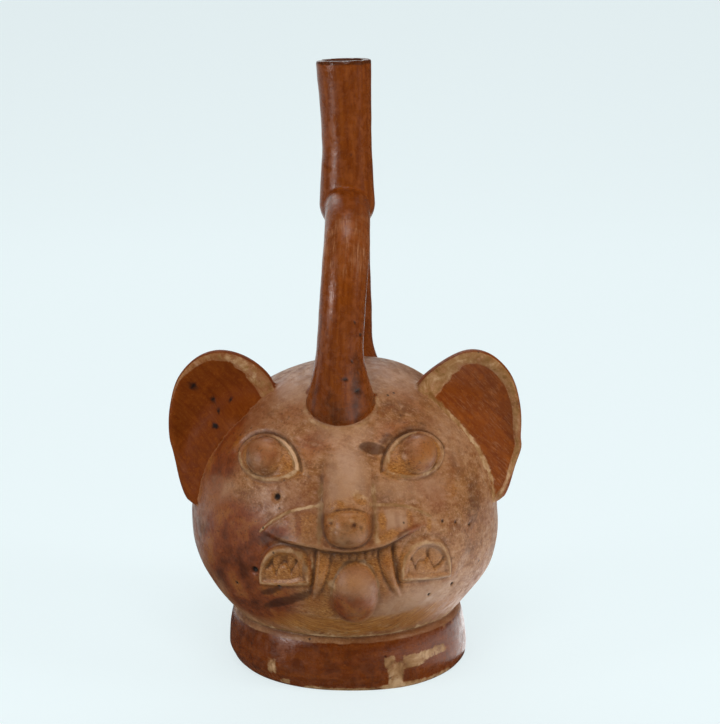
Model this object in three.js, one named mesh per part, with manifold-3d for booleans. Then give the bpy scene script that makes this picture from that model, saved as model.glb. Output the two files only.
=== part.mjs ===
// A stirrup-spout bottle of fired clay: a round, hollow feline head on a foot ring, with two flat ears.
// A hooped tube, the stirrup, stands on the crown from front to back, and one straight spout rises from
// its top. Spout, stirrup and head are hollow and open into each other. The vessel is one piece of clay.
// Millimetres, +Z up, and the face looks along -Y. The origin is on the ground, under the middle of the
// vessel's own box: the nose stands out in front, so the foot ring's middle is a little behind it.
import * as THREE from 'three';
import { ConvexGeometry } from 'three/addons/geometries/ConvexGeometry.js';
import { mergeVertices } from 'three/addons/utils/BufferGeometryUtils.js';
import Module from 'manifold-3d';

// Overall sizes.
const HEAD_RADIUS = 64.5;
const HEAD_MIDDLE_HEIGHT = 62;
const WALL = 6;
const VESSEL_HEIGHT = 250;

// The head narrows towards the foot, and its lower half sits a little aside of the crown.
const TAPER = 0.085;
const TAPER_START = 55;
const TAPER_RUN = 30;
const LOWER_SHIFT = -0.5;
const LOWER_SHIFT_TOP = [74, 50];
const LOWER_SHIFT_FOOT = [12, 30];

// The right side of the head is a little flat at its middle and fuller below.
const SIDE_SWELL = 0.9;
const SIDE_SWELL_HEIGHT = 42;
const SIDE_FLAT = 0.9;
const SIDE_FLAT_HEIGHT = 66;
const SIDE_REACH = 8;
// The crown is a little fuller on the right of the stirrup.
const CROWN_SWELL = 1.5;
const CROWN_SWELL_PLACE = [0.38, 0.2];
const CROWN_SWELL_REACH = 0.3;

// Foot ring.
const FOOT_RADIUS = 50.2;
const FOOT_HEIGHT = 23;
const FOOT_NECK = 2.6;
const FOOT_WALL = 7;
const FOOT_EDGE = 1.2;
// The ring's lower edge is worn away in front, most of all to the left.
const FOOT_WEAR = 2.8;
const FOOT_WEAR_HEIGHT = 7.5;
const RECESS_HEIGHT = 5;
const FLOOR_THICKNESS = 6;
// The block of ground that trims the head's underside level with the foot.
const GROUND_WIDTH = 200;
const GROUND_DEPTH = 40;

// Stirrup: an outside radius, and at the foot of each leg a wider root that runs up the leg.
const ARCH_OUTSIDE_RADIUS = 9.1;
const ARCH_WALL = 3.6;
const ARCH_ROOTS = {
  front: { radius: 13.8, run: 26, bend: 1.55 },
  back: { radius: 12.6, run: 15, bend: 1.9 },
};
const ARCH_HALF_SPAN = 41;
const ARCH_FOOT_TILT = 59.5;
const ARCH_TOP_HEIGHT = 192;
// How far the stirrup stands aside of the head's middle plane, and each leg's further lean aside.
const ARCH_OFFSET = 1.9;
const ARCH_SWAY = { front: -3.4, back: 0.7 };
const ARCH_SWAY_HEIGHTS = [190, 135];

// Spout.
const SPOUT_FOOT_RADIUS = 11.2;
const SPOUT_WAIST_RADIUS = 10.1;
const SPOUT_MOUTH_RADIUS = 11.1;
const SPOUT_WALL = 2.9;
const SPOUT_OFFSET = 1.8;
const SPOUT_LEAN = -0.9;
const SPOUT_BOW = 0.3;
const LIP_ROUND = 0.9;

// Ears.
const EAR_THICKNESS = 6;
const EAR_DISH = 2;
const EAR_DEPTH = -9;
const EAR_TURN = 5;
const EAR_MIDDLE = [50, 103];
// The ears' greatest distance out from the middle plane, which is half the vessel's width, and their top.
const EAR_REACH = 72.8;
const EAR_TOP_HEIGHT = 133.4;
// Near the head the ear's front swells forward, over a belt on both sides of the head's outline.
const EAR_SWELL = 11;
const EAR_SWELL_BELT = [13, -9];
const EAR_SWELL_HEIGHTS = [106, 120];
// The free edge of the right ear bulges out a little, and that of the left ear draws in.
const EARS = [{ side: 1, bulge: 1.1, dip: 2.9 }, { side: -1, bulge: -0.5, dip: 0 }];
const EAR_BULGE_HEIGHT = 90;
const EAR_BULGE_REACH = 7;
const EAR_BULGE_TOP = [97, 91];
const EAR_BULGE_OUT = [55, 66];
// The right ear's upper edge runs lower where it meets the head.
const EAR_DIP_OUT = 35;
const EAR_DIP_REACH = 14;
const EAR_DIP_HEIGHTS = [104, 114];
// The free edge of an ear: shares of its half width outwards and of its half height upwards.
const EAR_EDGE = [
  [-0.877, 0.625], [-0.439, 0.908], [0.044, 1], [0.45, 0.902], [0.803, 0.625], [0.961, 0.263],
  [1, -0.132], [0.917, -0.526], [0.583, -1.053], [-0.175, -0.954], [-0.789, -0.428], [-1.053, 0.164],
];

// Face features. Their places are lengths along the head's surface from the middle of the face:
// s to the right and t up, as someone in front of the vessel sees them.
const EYES = [
  { inner: [-18.6, 34.2], outer: [-54.2, 41.8], ball: [-35.4, 40.2], upperRise: 12.4, lowerRise: 7.6 },
  { inner: [15.8, 34], outer: [50, 42.6], ball: [32.2, 40.6], upperRise: 12.4, lowerRise: 7 },
];
const EYEBALL_RADIUS = 8.8;
const EYEBALL_HEIGHT = 5;
const EYE_DOME_HEIGHT = 1.6;
const EYE_RIM_HEIGHT = 1;
const NOSE_MIDDLE = 1.1;
const NOSE_HALF_WIDTH = 9.9;
// Height of the nose's ridge at each place t down the face, and the round pad at its tip.
const NOSE_RIDGE = [
  [4, 0], [6, 3.6], [8.5, 6.2], [12, 7.2], [18, 6.9], [26, 5.7], [34, 3.9], [41, 1.6], [48, 0],
];
const NOSE_TIP = { middle: 12.3, half: 7, height: 3 };
// The upper lip's edge, and the raised line that bounds the muzzle above.
const LIP_LINE = [
  [-40, 10], [-24, 6.1], [-13, 4.9], [0.5, 3.4], [13.4, 4.8], [23.3, 8], [34, 11], [44, 12],
];
const MUZZLE_LINE = [
  [-40, 4], [-35.3, 8.6], [-29.5, 13.6], [-21.2, 18.2], [-8.6, 21], [0.5, 21.4],
  [10, 21], [23.9, 19.6], [32.2, 16.2], [40, 10.6], [44, 6.5],
];
const MUZZLE_SWELL = 2.4;
const PAD_HEIGHT = 3.3;
const MOUTH_DEPTH = 1.3;
// Tooth panels at the corners of the mouth: an arch with square shoulders each, on a sloping base line.
const PANELS = [
  { middle: -24, halfWidth: 11.2, height: 16.6, base: -12.2, slope: 0.18, teeth: 3.5 },
  { middle: 33.4, halfWidth: 12.2, height: 17.6, base: -12, slope: -0.16, teeth: 2.6 },
];
const PANEL_SQUARENESS = 2.5;
const CANINES = [
  { root: [-8, 4.4], tip: [-12.3, -17] },
  { root: [15.2, 4.8], tip: [21.2, -16] },
];
const CANINE_HALF_WIDTH = 2.2;
const CANINE_HEIGHT = 1.2;
// The fangs bow towards the chin.
const CANINE_BOW = -1.1;
const CHIN = { middle: [4.2, -16.2], halfWidth: 9, halfHeight: 15.8, height: 6 };
const JAW = { middle: [6, -4], halfWidth: 48, halfHeight: 25, height: 0.5 };

// Fineness of the meshes.
const FACE_POINTS = 1370;
const BACK_POINTS = 280;
const FACE_ANGLE = 72;
const RING_SIDES = 48;
const ARCH_SIDES = 18;
const ARCH_STEPS = 32;
const EAR_SIDES = 28;
const BORE_SIDES = 10;

const clayRed = new THREE.MeshStandardMaterial({ color: 0x8a4526, roughness: 0.5, metalness: 0 });
const headMiddle = new THREE.Vector3(0, 0, HEAD_MIDDLE_HEIGHT);
const floorHeight = RECESS_HEIGHT + FLOOR_THICKNESS;

const clamp = (x, low, high) => Math.min(high, Math.max(low, x));
const radians = THREE.MathUtils.degToRad;
const bell = (x, width) => Math.exp(-((x / width) ** 2));

function rise(from, to, x) {
  const k = clamp((x - from) / (to - from), 0, 1);
  return k * k * (3 - 2 * k);
}

// A smooth curve y(x) through a list of points in order of x, level beyond its ends.
function through(points) {
  const slope = (i) => {
    const a = points[Math.max(0, i - 1)];
    const b = points[Math.min(points.length - 1, i + 1)];
    return (b[1] - a[1]) / (b[0] - a[0]);
  };
  return (x) => {
    if (x <= points[0][0]) return points[0][1];
    if (x >= points.at(-1)[0]) return points.at(-1)[1];
    const i = points.findIndex((p) => p[0] > x) - 1;
    const span = points[i + 1][0] - points[i][0];
    const k = (x - points[i][0]) / span;
    return points[i][1] * (1 + 2 * k) * (1 - k) ** 2 + points[i + 1][1] * k * k * (3 - 2 * k)
      + span * (slope(i) * k * (1 - k) ** 2 - slope(i + 1) * k * k * (1 - k));
  };
}
const noseRidge = through(NOSE_RIDGE);
const lipLine = through(LIP_LINE);
const muzzleLine = through(MUZZLE_LINE);

// The disc whose edge is the arc from a to b that rises to one side of that chord.
function arcDisc(a, b, arcRise, side) {
  const chord = Math.hypot(b[0] - a[0], b[1] - a[1]);
  const radius = (chord * chord / 4 + arcRise * arcRise) / (2 * arcRise);
  const up = [-(b[1] - a[1]) / chord, (b[0] - a[0]) / chord];
  const flip = up[1] < 0 ? -side : side;
  const drop = (arcRise - radius) * flip;
  return { radius, middle: [(a[0] + b[0]) / 2 + up[0] * drop, (a[1] + b[1]) / 2 + up[1] * drop] };
}
for (const eye of EYES) {
  eye.upper = arcDisc(eye.inner, eye.outer, eye.upperRise, 1);
  eye.lower = arcDisc(eye.inner, eye.outer, eye.lowerRise, -1);
}

// How far a place lies outside an eye's outline, whose outer corner is blunter than its inner one.
function outsideEye(eye, s, t) {
  const beyond = (disc) => Math.hypot(s - disc.middle[0], t - disc.middle[1]) - disc.radius;
  const chord = [eye.outer[0] - eye.inner[0], eye.outer[1] - eye.inner[1]];
  const length = Math.hypot(...chord);
  const along = ((s - eye.inner[0]) * chord[0] + (t - eye.inner[1]) * chord[1]) / length ** 2;
  const blunt = 1.2 + 5.3 * rise(0.45, 0.95, along);
  const [upper, lower] = [beyond(eye.upper), beyond(eye.lower)];
  return 0.5 * (upper + lower + Math.hypot(upper - lower, blunt));
}

function eyeRelief(eye, s, t) {
  const outside = outsideEye(eye, s, t);
  const fromBall = Math.hypot(s - eye.ball[0], t - eye.ball[1]) / EYEBALL_RADIUS;
  const ball = EYEBALL_HEIGHT * Math.max(0, 1 - fromBall ** 2) ** 0.85;
  const dome = EYE_DOME_HEIGHT * rise(0, -5.5, outside);
  const rim = EYE_RIM_HEIGHT * bell(outside + 0.5, 1) - 0.8 * bell(outside - 1.2, 1);
  return (ball + dome) * rise(0, -1.8, outside) + rim;
}

function noseRelief(s, t) {
  const half = NOSE_HALF_WIDTH * (1 - 0.2 * rise(12, 4, t));
  const aside = clamp(Math.abs(s - NOSE_MIDDLE) / half, 0, 1);
  const up = (t - NOSE_TIP.middle) / NOSE_TIP.half;
  const tip = NOSE_TIP.height * Math.max(0, 1 - up ** 2 - 0.9 * aside ** 2) ** 0.6;
  return (Math.max(0, noseRidge(t)) + tip) * (1 - aside ** 2.3) ** 0.8;
}

// The muzzle pads swell between the line above them and the edge of the upper lip.
function padRelief(s, t) {
  const below = muzzleLine(s) - t;
  const above = t - lipLine(s);
  const ends = rise(-40, -14, s) * rise(40, 14, s);
  const pad = (0.25 * rise(0, 3, below) + 0.75 * rise(1, 14, below)) * rise(-0.5, 1.4, above) * ends;
  const line = 0.75 * bell(below, 1) * rise(-38, -33, s) * rise(42, 37, s);
  return PAD_HEIGHT * pad + line * rise(0, 2, above);
}

function mouthRelief(s, t) {
  const below = lipLine(s) - t;
  const across = rise(-12.5, -8, s) * rise(21, 16, s);
  const hollow = -MOUTH_DEPTH * rise(0, 1, below) * rise(13, 3, below) * across;
  const teeth = Math.abs(Math.sin(Math.PI * (s + 4.5) / 3)) * rise(-6, -4.5, s) * rise(13, 11.5, s);
  return hollow + 0.8 * teeth * rise(0.3, 1, below) * rise(4.4, 3, below);
}

// How far a place lies inside a tooth panel's outline.
function insidePanel(panel, s, t) {
  const above = t - panel.base - panel.slope * (s - panel.middle);
  const across = Math.abs(s - panel.middle) / panel.halfWidth;
  const up = Math.abs(above) / panel.height;
  const round = (across ** PANEL_SQUARENESS + up ** PANEL_SQUARENESS) ** (1 / PANEL_SQUARENESS);
  return Math.min((1 - round) * panel.halfWidth, above);
}

function panelRelief(panel, s, t) {
  const inside = insidePanel(panel, s, t);
  if (inside < -3) return 0;
  const towardsNose = rise(0.1, 0.8, Math.sign(panel.middle) * (panel.middle - s) / panel.halfWidth);
  const border = 0.95 * bell(inside - 1.1 - 0.5 * towardsNose, 1 + 0.5 * towardsNose)
    - 0.45 * bell(inside + 0.8, 0.8);
  const turns = (s - panel.middle) / (2 * panel.halfWidth) * panel.teeth;
  const saw = 4 * Math.abs(turns - Math.floor(turns) - 0.5) - 1;
  const base = panel.base + panel.slope * (s - panel.middle);
  const fromTeeth = t - (base + 0.4 * panel.height + 2.4 * saw);
  const upper = 0.5 * rise(1.4, 2.2, fromTeeth) * rise(1.5, 3, inside);
  const floor = -1.1 + 0.9 * rise(0.5, -0.3, fromTeeth) + upper;
  return border + rise(1.6 + towardsNose, 2.6 + towardsNose, inside) * floor;
}

function canineRelief(canine, s, t) {
  const along = [canine.tip[0] - canine.root[0], canine.tip[1] - canine.root[1]];
  const length = Math.hypot(...along);
  const k = ((s - canine.root[0]) * along[0] + (t - canine.root[1]) * along[1]) / length ** 2;
  const bow = -CANINE_BOW * Math.sign(along[0]) * Math.sin(Math.PI * clamp(k, 0, 1));
  const aside = ((s - canine.root[0]) * along[1] - (t - canine.root[1]) * along[0]) / length - bow;
  const half = 0.5 + CANINE_HALF_WIDTH * Math.sqrt(clamp(1 - k, 0, 1));
  const ends = rise(-0.05, 0.1, k) * rise(1.15, 0.7, k);
  const tooth = CANINE_HEIGHT * Math.sqrt(clamp(1 - (aside / half) ** 2, 0, 1));
  const outwards = rise(-1, 1, -aside * Math.sign(along[0]));
  return (tooth - (0.25 + 0.65 * outwards) * bell(Math.abs(aside) - half - 0.6, 0.8)) * ends;
}

// The chin is shaped like an egg with its broader end above.
function chinRelief(s, t) {
  const up = (t - CHIN.middle[1]) / CHIN.halfHeight;
  const out = Math.hypot((s - CHIN.middle[0]) / (CHIN.halfWidth * (1 + 0.06 * rise(0, 1, up))), up);
  return CHIN.height * Math.max(0, 1 - out * out) ** (1.25 - 0.45 * rise(-20, -6, t));
}

// The jaw steps back a little below a round line under the mouth.
function jawRelief(s, t) {
  const out = Math.hypot((s - JAW.middle[0]) / JAW.halfWidth, (t - JAW.middle[1]) / JAW.halfHeight);
  return JAW.height * rise(-1.5, 2, (1 - out) * JAW.halfHeight) * rise(2, -12, t);
}

// Height of the modelling over the head's round body.
function relief(s, t) {
  let height = MUZZLE_SWELL * Math.exp(-(((s - 2) / 34) ** 2) - ((t + 2) / 26) ** 2);
  height += Math.max(padRelief(s, t), noseRelief(s, t)) + mouthRelief(s, t);
  height += chinRelief(s, t) + jawRelief(s, t);
  for (const eye of EYES) height += eyeRelief(eye, s, t);
  for (const panel of PANELS) height += panelRelief(panel, s, t);
  for (const canine of CANINES) height += canineRelief(canine, s, t);
  return height;
}

function faceDirection(s, t) {
  const angle = Math.hypot(s, t) / HEAD_RADIUS;
  const k = angle > 0 ? Math.sin(angle) / Math.hypot(s, t) : 0;
  return new THREE.Vector3(s * k, -Math.cos(angle), t * k);
}

function facePlace(direction) {
  const angle = Math.acos(clamp(-direction.y, -1, 1));
  const k = HEAD_RADIUS * angle / Math.max(Math.hypot(direction.x, direction.z), 1e-9);
  return [direction.x * k, direction.z * k];
}

// Points that follow the outlines of the features, so that the facets keep their edges crisp.
function outlinePoints() {
  const points = [];
  const twice = (s, t, across) => {
    points.push([s + across[0], t + across[1]], [s - across[0], t - across[1]]);
  };
  for (const eye of EYES) {
    for (let i = 0; i < 32; i++) {
      const turn = 2 * Math.PI * i / 32;
      const ray = [Math.cos(turn), Math.sin(turn)];
      let reach = 2;
      while (outsideEye(eye, eye.ball[0] + ray[0] * reach, eye.ball[1] + ray[1] * reach) < 0) reach += 0.2;
      twice(eye.ball[0] + ray[0] * reach, eye.ball[1] + ray[1] * reach, ray);
    }
  }
  for (let s = -36; s <= 40; s += 2.2) {
    twice(s, lipLine(s) + 0.4, [0, 0.9]);
    if (Math.abs(s - NOSE_MIDDLE) > NOSE_HALF_WIDTH) twice(s, muzzleLine(s) - 0.7, [0, 0.9]);
  }
  for (let t = 5; t < 38; t += 2.3) {
    for (const side of [-1, 1]) twice(NOSE_MIDDLE + side * (NOSE_HALF_WIDTH - 0.8), t, [1.4, 0]);
  }
  for (const panel of PANELS) {
    for (let s = -panel.halfWidth; s <= panel.halfWidth; s += 1.5) {
      for (let t = -0.6; t <= panel.height; t += 1.5) {
        const place = [panel.middle + s, panel.base + panel.slope * s + t];
        if (insidePanel(panel, ...place) > -1) points.push(place);
      }
    }
  }
  return points;
}

// Directions spread over the head, close together on the face, and on its outlines.
function headDirections() {
  const kept = outlinePoints().map(([s, t]) => faceDirection(s, t));
  const outlines = kept.slice();
  const apart = 1.5 / HEAD_RADIUS;
  const golden = Math.PI * (3 - Math.sqrt(5));
  const edge = Math.cos(radians(FACE_ANGLE));
  for (let i = 0; i < FACE_POINTS + BACK_POINTS; i++) {
    const onFace = i < FACE_POINTS;
    const share = onFace ? (i + 0.5) / FACE_POINTS : (i + 0.5 - FACE_POINTS) / BACK_POINTS;
    const along = onFace ? 1 - share * (1 - edge) : edge - share * (1 + edge);
    const across = Math.sqrt(1 - along * along);
    const direction = new THREE.Vector3(across * Math.cos(i * golden), -along, across * Math.sin(i * golden));
    if (outlines.every((o) => o.distanceTo(direction) > apart)) kept.push(direction);
  }
  return kept;
}

// The head's share of its round width at each height, and how far it stands aside there.
const narrowing = (z) => 1 - TAPER * clamp((TAPER_START - z) / TAPER_RUN, 0, 1.4) ** 1.8;
const lowerShift = (z) => LOWER_SHIFT * rise(...LOWER_SHIFT_TOP, z) * rise(...LOWER_SHIFT_FOOT, z);

function sideSwell(direction) {
  const z = headMiddle.z + direction.z * HEAD_RADIUS;
  const swell = SIDE_SWELL * bell(z - SIDE_SWELL_HEIGHT, SIDE_REACH);
  const flat = SIDE_FLAT * bell(z - SIDE_FLAT_HEIGHT, SIDE_REACH);
  const fromCrown = Math.hypot(direction.x - CROWN_SWELL_PLACE[0], direction.y - CROWN_SWELL_PLACE[1]);
  const crown = CROWN_SWELL * bell(fromCrown, CROWN_SWELL_REACH) * rise(0.5, 0.8, direction.z);
  return (swell - flat) * rise(0.45, 0.95, direction.x) + crown;
}

function headGeometry() {
  const geometry = new ConvexGeometry(headDirections());
  const position = geometry.getAttribute('position');
  const point = new THREE.Vector3();
  for (let i = 0; i < position.count; i++) {
    point.fromBufferAttribute(position, i).normalize();
    const radius = HEAD_RADIUS + relief(...facePlace(point)) + sideSwell(point);
    point.multiplyScalar(radius).add(headMiddle);
    const narrow = narrowing(point.z);
    position.setXYZ(i, point.x * narrow + lowerShift(point.z), point.y * narrow, point.z);
  }
  return geometry;
}

// A closed tube through rings of points; every ring has the same number of points.
function skin(rings) {
  const sides = rings[0].length;
  const points = rings.flat();
  const index = [];
  for (let r = 0; r + 1 < rings.length; r++) {
    for (let i = 0; i < sides; i++) {
      const [a, b] = [r * sides + i, r * sides + (i + 1) % sides];
      index.push(a, b, a + sides, b, b + sides, a + sides);
    }
  }
  for (const [ring, flip] of [[0, true], [rings.length - 1, false]]) {
    const middle = points.length;
    points.push(rings[ring].reduce((sum, p) => sum.add(p), new THREE.Vector3()).divideScalar(sides));
    for (let i = 0; i < sides; i++) {
      const pair = [ring * sides + i, ring * sides + (i + 1) % sides];
      if (flip) pair.reverse();
      index.push(middle, ...pair);
    }
  }
  const geometry = new THREE.BufferGeometry().setFromPoints(points);
  geometry.setIndex(index);
  return geometry;
}

// The stirrup's middle line, from inside the front of the crown over to the back.
function archPath(sunk) {
  const foot = radians(ARCH_FOOT_TILT);
  const onHead = (radius) => [radius * Math.cos(foot), HEAD_MIDDLE_HEIGHT + radius * Math.sin(foot)];
  const loopHeight = ARCH_TOP_HEIGHT - onHead(HEAD_RADIUS)[1];
  const half = [
    onHead(HEAD_RADIUS - sunk),
    onHead(HEAD_RADIUS),
    [ARCH_HALF_SPAN * 0.945, onHead(HEAD_RADIUS)[1] + loopHeight * 0.2],
    [ARCH_HALF_SPAN, onHead(HEAD_RADIUS)[1] + loopHeight * 0.4],
    [ARCH_HALF_SPAN * 0.97, onHead(HEAD_RADIUS)[1] + loopHeight * 0.6],
    [ARCH_HALF_SPAN * 0.84, onHead(HEAD_RADIUS)[1] + loopHeight * 0.78],
    [ARCH_HALF_SPAN * 0.6, onHead(HEAD_RADIUS)[1] + loopHeight * 0.9],
    [ARCH_HALF_SPAN * 0.3, onHead(HEAD_RADIUS)[1] + loopHeight * 0.975],
  ];
  const back = half.map(([y, z]) => new THREE.Vector3(0, y, z)).reverse();
  const front = half.map(([y, z]) => new THREE.Vector3(0, -y, z));
  return new THREE.CatmullRomCurve3([...front, new THREE.Vector3(0, 0, ARCH_TOP_HEIGHT), ...back]);
}

// The stirrup's radius at a length along it, wider where it stands on the head.
function archRadius(fromFront, fromBack) {
  const atFront = fromFront < fromBack;
  const root = atFront ? ARCH_ROOTS.front : ARCH_ROOTS.back;
  const spread = (1 - clamp((atFront ? fromFront : fromBack) / root.run, 0, 1)) ** root.bend;
  return ARCH_OUTSIDE_RADIUS + (root.radius - ARCH_OUTSIDE_RADIUS) * spread;
}

// A tube along the stirrup's middle line: its outside, or a bore of a given radius.
function archGeometry(boreRadius, sides, sunk) {
  const path = archPath(sunk);
  const length = path.getLength();
  const rings = [];
  for (let i = 0; i <= ARCH_STEPS; i++) {
    const share = i / ARCH_STEPS;
    const middle = path.getPointAt(share);
    const along = path.getTangentAt(share);
    const across = new THREE.Vector3(1, 0, 0);
    const outward = new THREE.Vector3().crossVectors(along, across);
    const radius = boreRadius ?? archRadius(share * length - sunk, (1 - share) * length - sunk);
    const sway = middle.y < 0 ? ARCH_SWAY.front : ARCH_SWAY.back;
    middle.x += ARCH_OFFSET + sway * rise(...ARCH_SWAY_HEIGHTS, middle.z);
    const ring = [];
    for (let k = 0; k < sides; k++) {
      const turn = 2 * Math.PI * k / sides;
      ring.push(middle.clone().addScaledVector(across, radius * Math.cos(turn))
        .addScaledVector(outward, radius * Math.sin(turn)));
    }
    rings.push(ring);
  }
  return skin(rings);
}

// The spout's outside radius at each height, with a rounded foot below the stirrup's top.
const spoutFoot = ARCH_TOP_HEIGHT;
const spoutRun = VESSEL_HEIGHT - spoutFoot;
const spoutRadius = through([
  [spoutFoot, SPOUT_FOOT_RADIUS], [spoutFoot + 0.17 * spoutRun, (SPOUT_FOOT_RADIUS + SPOUT_WAIST_RADIUS) / 2],
  [spoutFoot + 0.36 * spoutRun, SPOUT_WAIST_RADIUS], [spoutFoot + 0.7 * spoutRun, SPOUT_WAIST_RADIUS + 0.3],
  [VESSEL_HEIGHT, SPOUT_MOUTH_RADIUS],
]);

function leanSpout(geometry) {
  const position = geometry.getAttribute('position');
  for (let i = 0; i < position.count; i++) {
    const up = clamp((position.getZ(i) - spoutFoot) / spoutRun, 0, 1.1);
    const bow = SPOUT_BOW * Math.sin(Math.PI * clamp(up, 0, 1));
    position.setX(i, position.getX(i) + SPOUT_OFFSET + SPOUT_LEAN * up * up + bow);
  }
  return geometry;
}

// A lathe turned about the upright axis from [radius, height] pairs that run upwards.
function turned(profile, sides) {
  const geometry = new THREE.LatheGeometry(profile.map(([r, z]) => new THREE.Vector2(r, z)), sides);
  return geometry.rotateX(Math.PI / 2);
}

function spoutGeometry() {
  const profile = [[0, spoutFoot - SPOUT_FOOT_RADIUS]];
  for (const angle of [25, 50, 72]) {
    const [out, down] = [Math.sin(radians(angle)), Math.cos(radians(angle))];
    profile.push([SPOUT_FOOT_RADIUS * out, spoutFoot - SPOUT_FOOT_RADIUS * down]);
  }
  for (let i = 0; i <= 8; i++) {
    const z = spoutFoot + (spoutRun - LIP_ROUND) * i / 8;
    profile.push([spoutRadius(z), z]);
  }
  profile.push([SPOUT_MOUTH_RADIUS - LIP_ROUND, VESSEL_HEIGHT], [0, VESSEL_HEIGHT]);
  return leanSpout(turned(profile, 28));
}

function spoutBoreGeometry() {
  const above = VESSEL_HEIGHT + 5;
  const profile = [[0, ARCH_TOP_HEIGHT], [SPOUT_FOOT_RADIUS - SPOUT_WALL - 1.5, ARCH_TOP_HEIGHT]];
  for (let i = 1; i <= 5; i++) {
    const z = spoutFoot + spoutRun * i / 5;
    profile.push([spoutRadius(z) - SPOUT_WALL, z]);
  }
  profile.push([SPOUT_MOUTH_RADIUS - SPOUT_WALL, above], [0, above]);
  return leanSpout(turned(profile, 18));
}

function footGeometry() {
  const neckRadius = FOOT_RADIUS - FOOT_NECK;
  const geometry = turned([
    [0, 0], [FOOT_RADIUS - FOOT_EDGE, 0], [FOOT_RADIUS - 0.2, FOOT_EDGE],
    [FOOT_RADIUS, 0.15 * FOOT_HEIGHT], [FOOT_RADIUS, 0.3 * FOOT_HEIGHT],
    [FOOT_RADIUS - 0.5, 0.62 * FOOT_HEIGHT], [FOOT_RADIUS - 1.4, 0.85 * FOOT_HEIGHT],
    [neckRadius, FOOT_HEIGHT], [neckRadius - 3, FOOT_HEIGHT + 0.5], [0, FOOT_HEIGHT + 0.5],
  ], RING_SIDES);
  const position = geometry.getAttribute('position');
  for (let i = 0; i < position.count; i++) {
    const [x, y, z] = [position.getX(i), position.getY(i), position.getZ(i)];
    const around = Math.hypot(x, y);
    if (around < 1) continue;
    const worn = FOOT_WEAR * rise(0.3, 0.9, -(0.6 * x + 0.8 * y) / around) * rise(FOOT_WEAR_HEIGHT, 0, z);
    position.setXY(i, x * (1 - worn / around), y * (1 - worn / around));
  }
  return geometry;
}

function recessGeometry() {
  const inside = FOOT_RADIUS - FOOT_WALL;
  return turned([
    [0, -2], [inside + 0.6, -2], [inside, RECESS_HEIGHT - 1.5],
    [inside - 2, RECESS_HEIGHT], [0, RECESS_HEIGHT],
  ], RING_SIDES);
}

// The hollow inside the head: round, with a flat floor that turns up inside the foot ring.
function cavityGeometry() {
  const radius = HEAD_RADIUS - WALL;
  const inFoot = FOOT_RADIUS - FOOT_NECK - WALL;
  const joinAngle = Math.asin((FOOT_HEIGHT + 3 - HEAD_MIDDLE_HEIGHT) / radius);
  const profile = [
    [0, floorHeight], [inFoot - 6, floorHeight],
    [inFoot - 1.8, floorHeight + 3.6], [inFoot, (floorHeight + FOOT_HEIGHT) / 2 + 3.6],
  ];
  for (let i = 0; i <= 12; i++) {
    const angle = joinAngle + (Math.PI / 2 - joinAngle) * i / 12;
    profile.push([Math.max(0, radius * Math.cos(angle)), HEAD_MIDDLE_HEIGHT + radius * Math.sin(angle)]);
  }
  profile.at(-1)[0] = 0;
  return turned(profile, 24);
}

// A flat ear with a rounded edge, dished in front and swelling behind, in the plane of the ears.
function earGeometry({ side, bulge, dip }) {
  const [halfWidth, halfHeight] = [EAR_REACH - EAR_MIDDLE[0], EAR_TOP_HEIGHT - EAR_MIDDLE[1]];
  const edge = new THREE.CatmullRomCurve3(EAR_EDGE.map(([out, up]) => (
    new THREE.Vector3(EAR_MIDDLE[0] + halfWidth * out, 0, EAR_MIDDLE[1] + halfHeight * up)
  )), true);
  const outline = edge.getSpacedPoints(EAR_SIDES).slice(0, -1);
  for (const p of outline) {
    const lower = bell(p.z - EAR_BULGE_HEIGHT, EAR_BULGE_REACH) * rise(...EAR_BULGE_TOP, p.z);
    p.x += bulge * lower * rise(...EAR_BULGE_OUT, p.x);
    p.z -= dip * bell(p.x - EAR_DIP_OUT, EAR_DIP_REACH) * rise(...EAR_DIP_HEIGHTS, p.z);
  }
  const middle = new THREE.Vector3(EAR_MIDDLE[0], 0, EAR_MIDDLE[1]);
  const half = EAR_THICKNESS / 2;
  // Share of the way from the middle to the edge, and depth there, from the front to the back.
  const section = [
    [0.25, -half + EAR_DISH], [0.52, -half + 0.85 * EAR_DISH], [0.72, -half + 0.55 * EAR_DISH],
    [0.87, -half], [0.96, -half * 0.8],
    [1, -half * 0.2], [1, half * 0.3], [0.94, half * 0.95], [0.5, half + 1.2],
  ];
  const rings = section.map(([share, depth]) => outline.map((p) => {
    const point = new THREE.Vector3().lerpVectors(middle, p, share);
    const fromHead = Math.hypot(point.x, point.z - HEAD_MIDDLE_HEIGHT) - HEAD_RADIUS;
    const above = 1 - 0.75 * rise(...EAR_SWELL_HEIGHTS, point.z);
    const forward = EAR_SWELL * rise(...EAR_SWELL_BELT, fromHead) * above;
    return point.setY(depth - (depth < 0 ? forward : 0));
  }));
  const geometry = skin(rings);
  geometry.translate(-EAR_MIDDLE[0], 0, 0).rotateZ(radians(EAR_TURN));
  geometry.translate(EAR_MIDDLE[0], EAR_DEPTH, 0);
  if (side < 0) {
    geometry.scale(-1, 1, 1);
    const index = geometry.getIndex().array;
    for (let i = 0; i < index.length; i += 3) [index[i], index[i + 1]] = [index[i + 1], index[i]];
  }
  return geometry;
}

const wasm = await Module();
wasm.setup();

function solid(geometry) {
  const bare = geometry.clone();
  bare.deleteAttribute('normal');
  bare.deleteAttribute('uv');
  const merged = mergeVertices(bare, 1e-4);
  return new wasm.Manifold(new wasm.Mesh({
    numProp: 3,
    vertProperties: new Float32Array(merged.getAttribute('position').array),
    triVerts: new Uint32Array(merged.getIndex().array),
  }));
}

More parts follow.
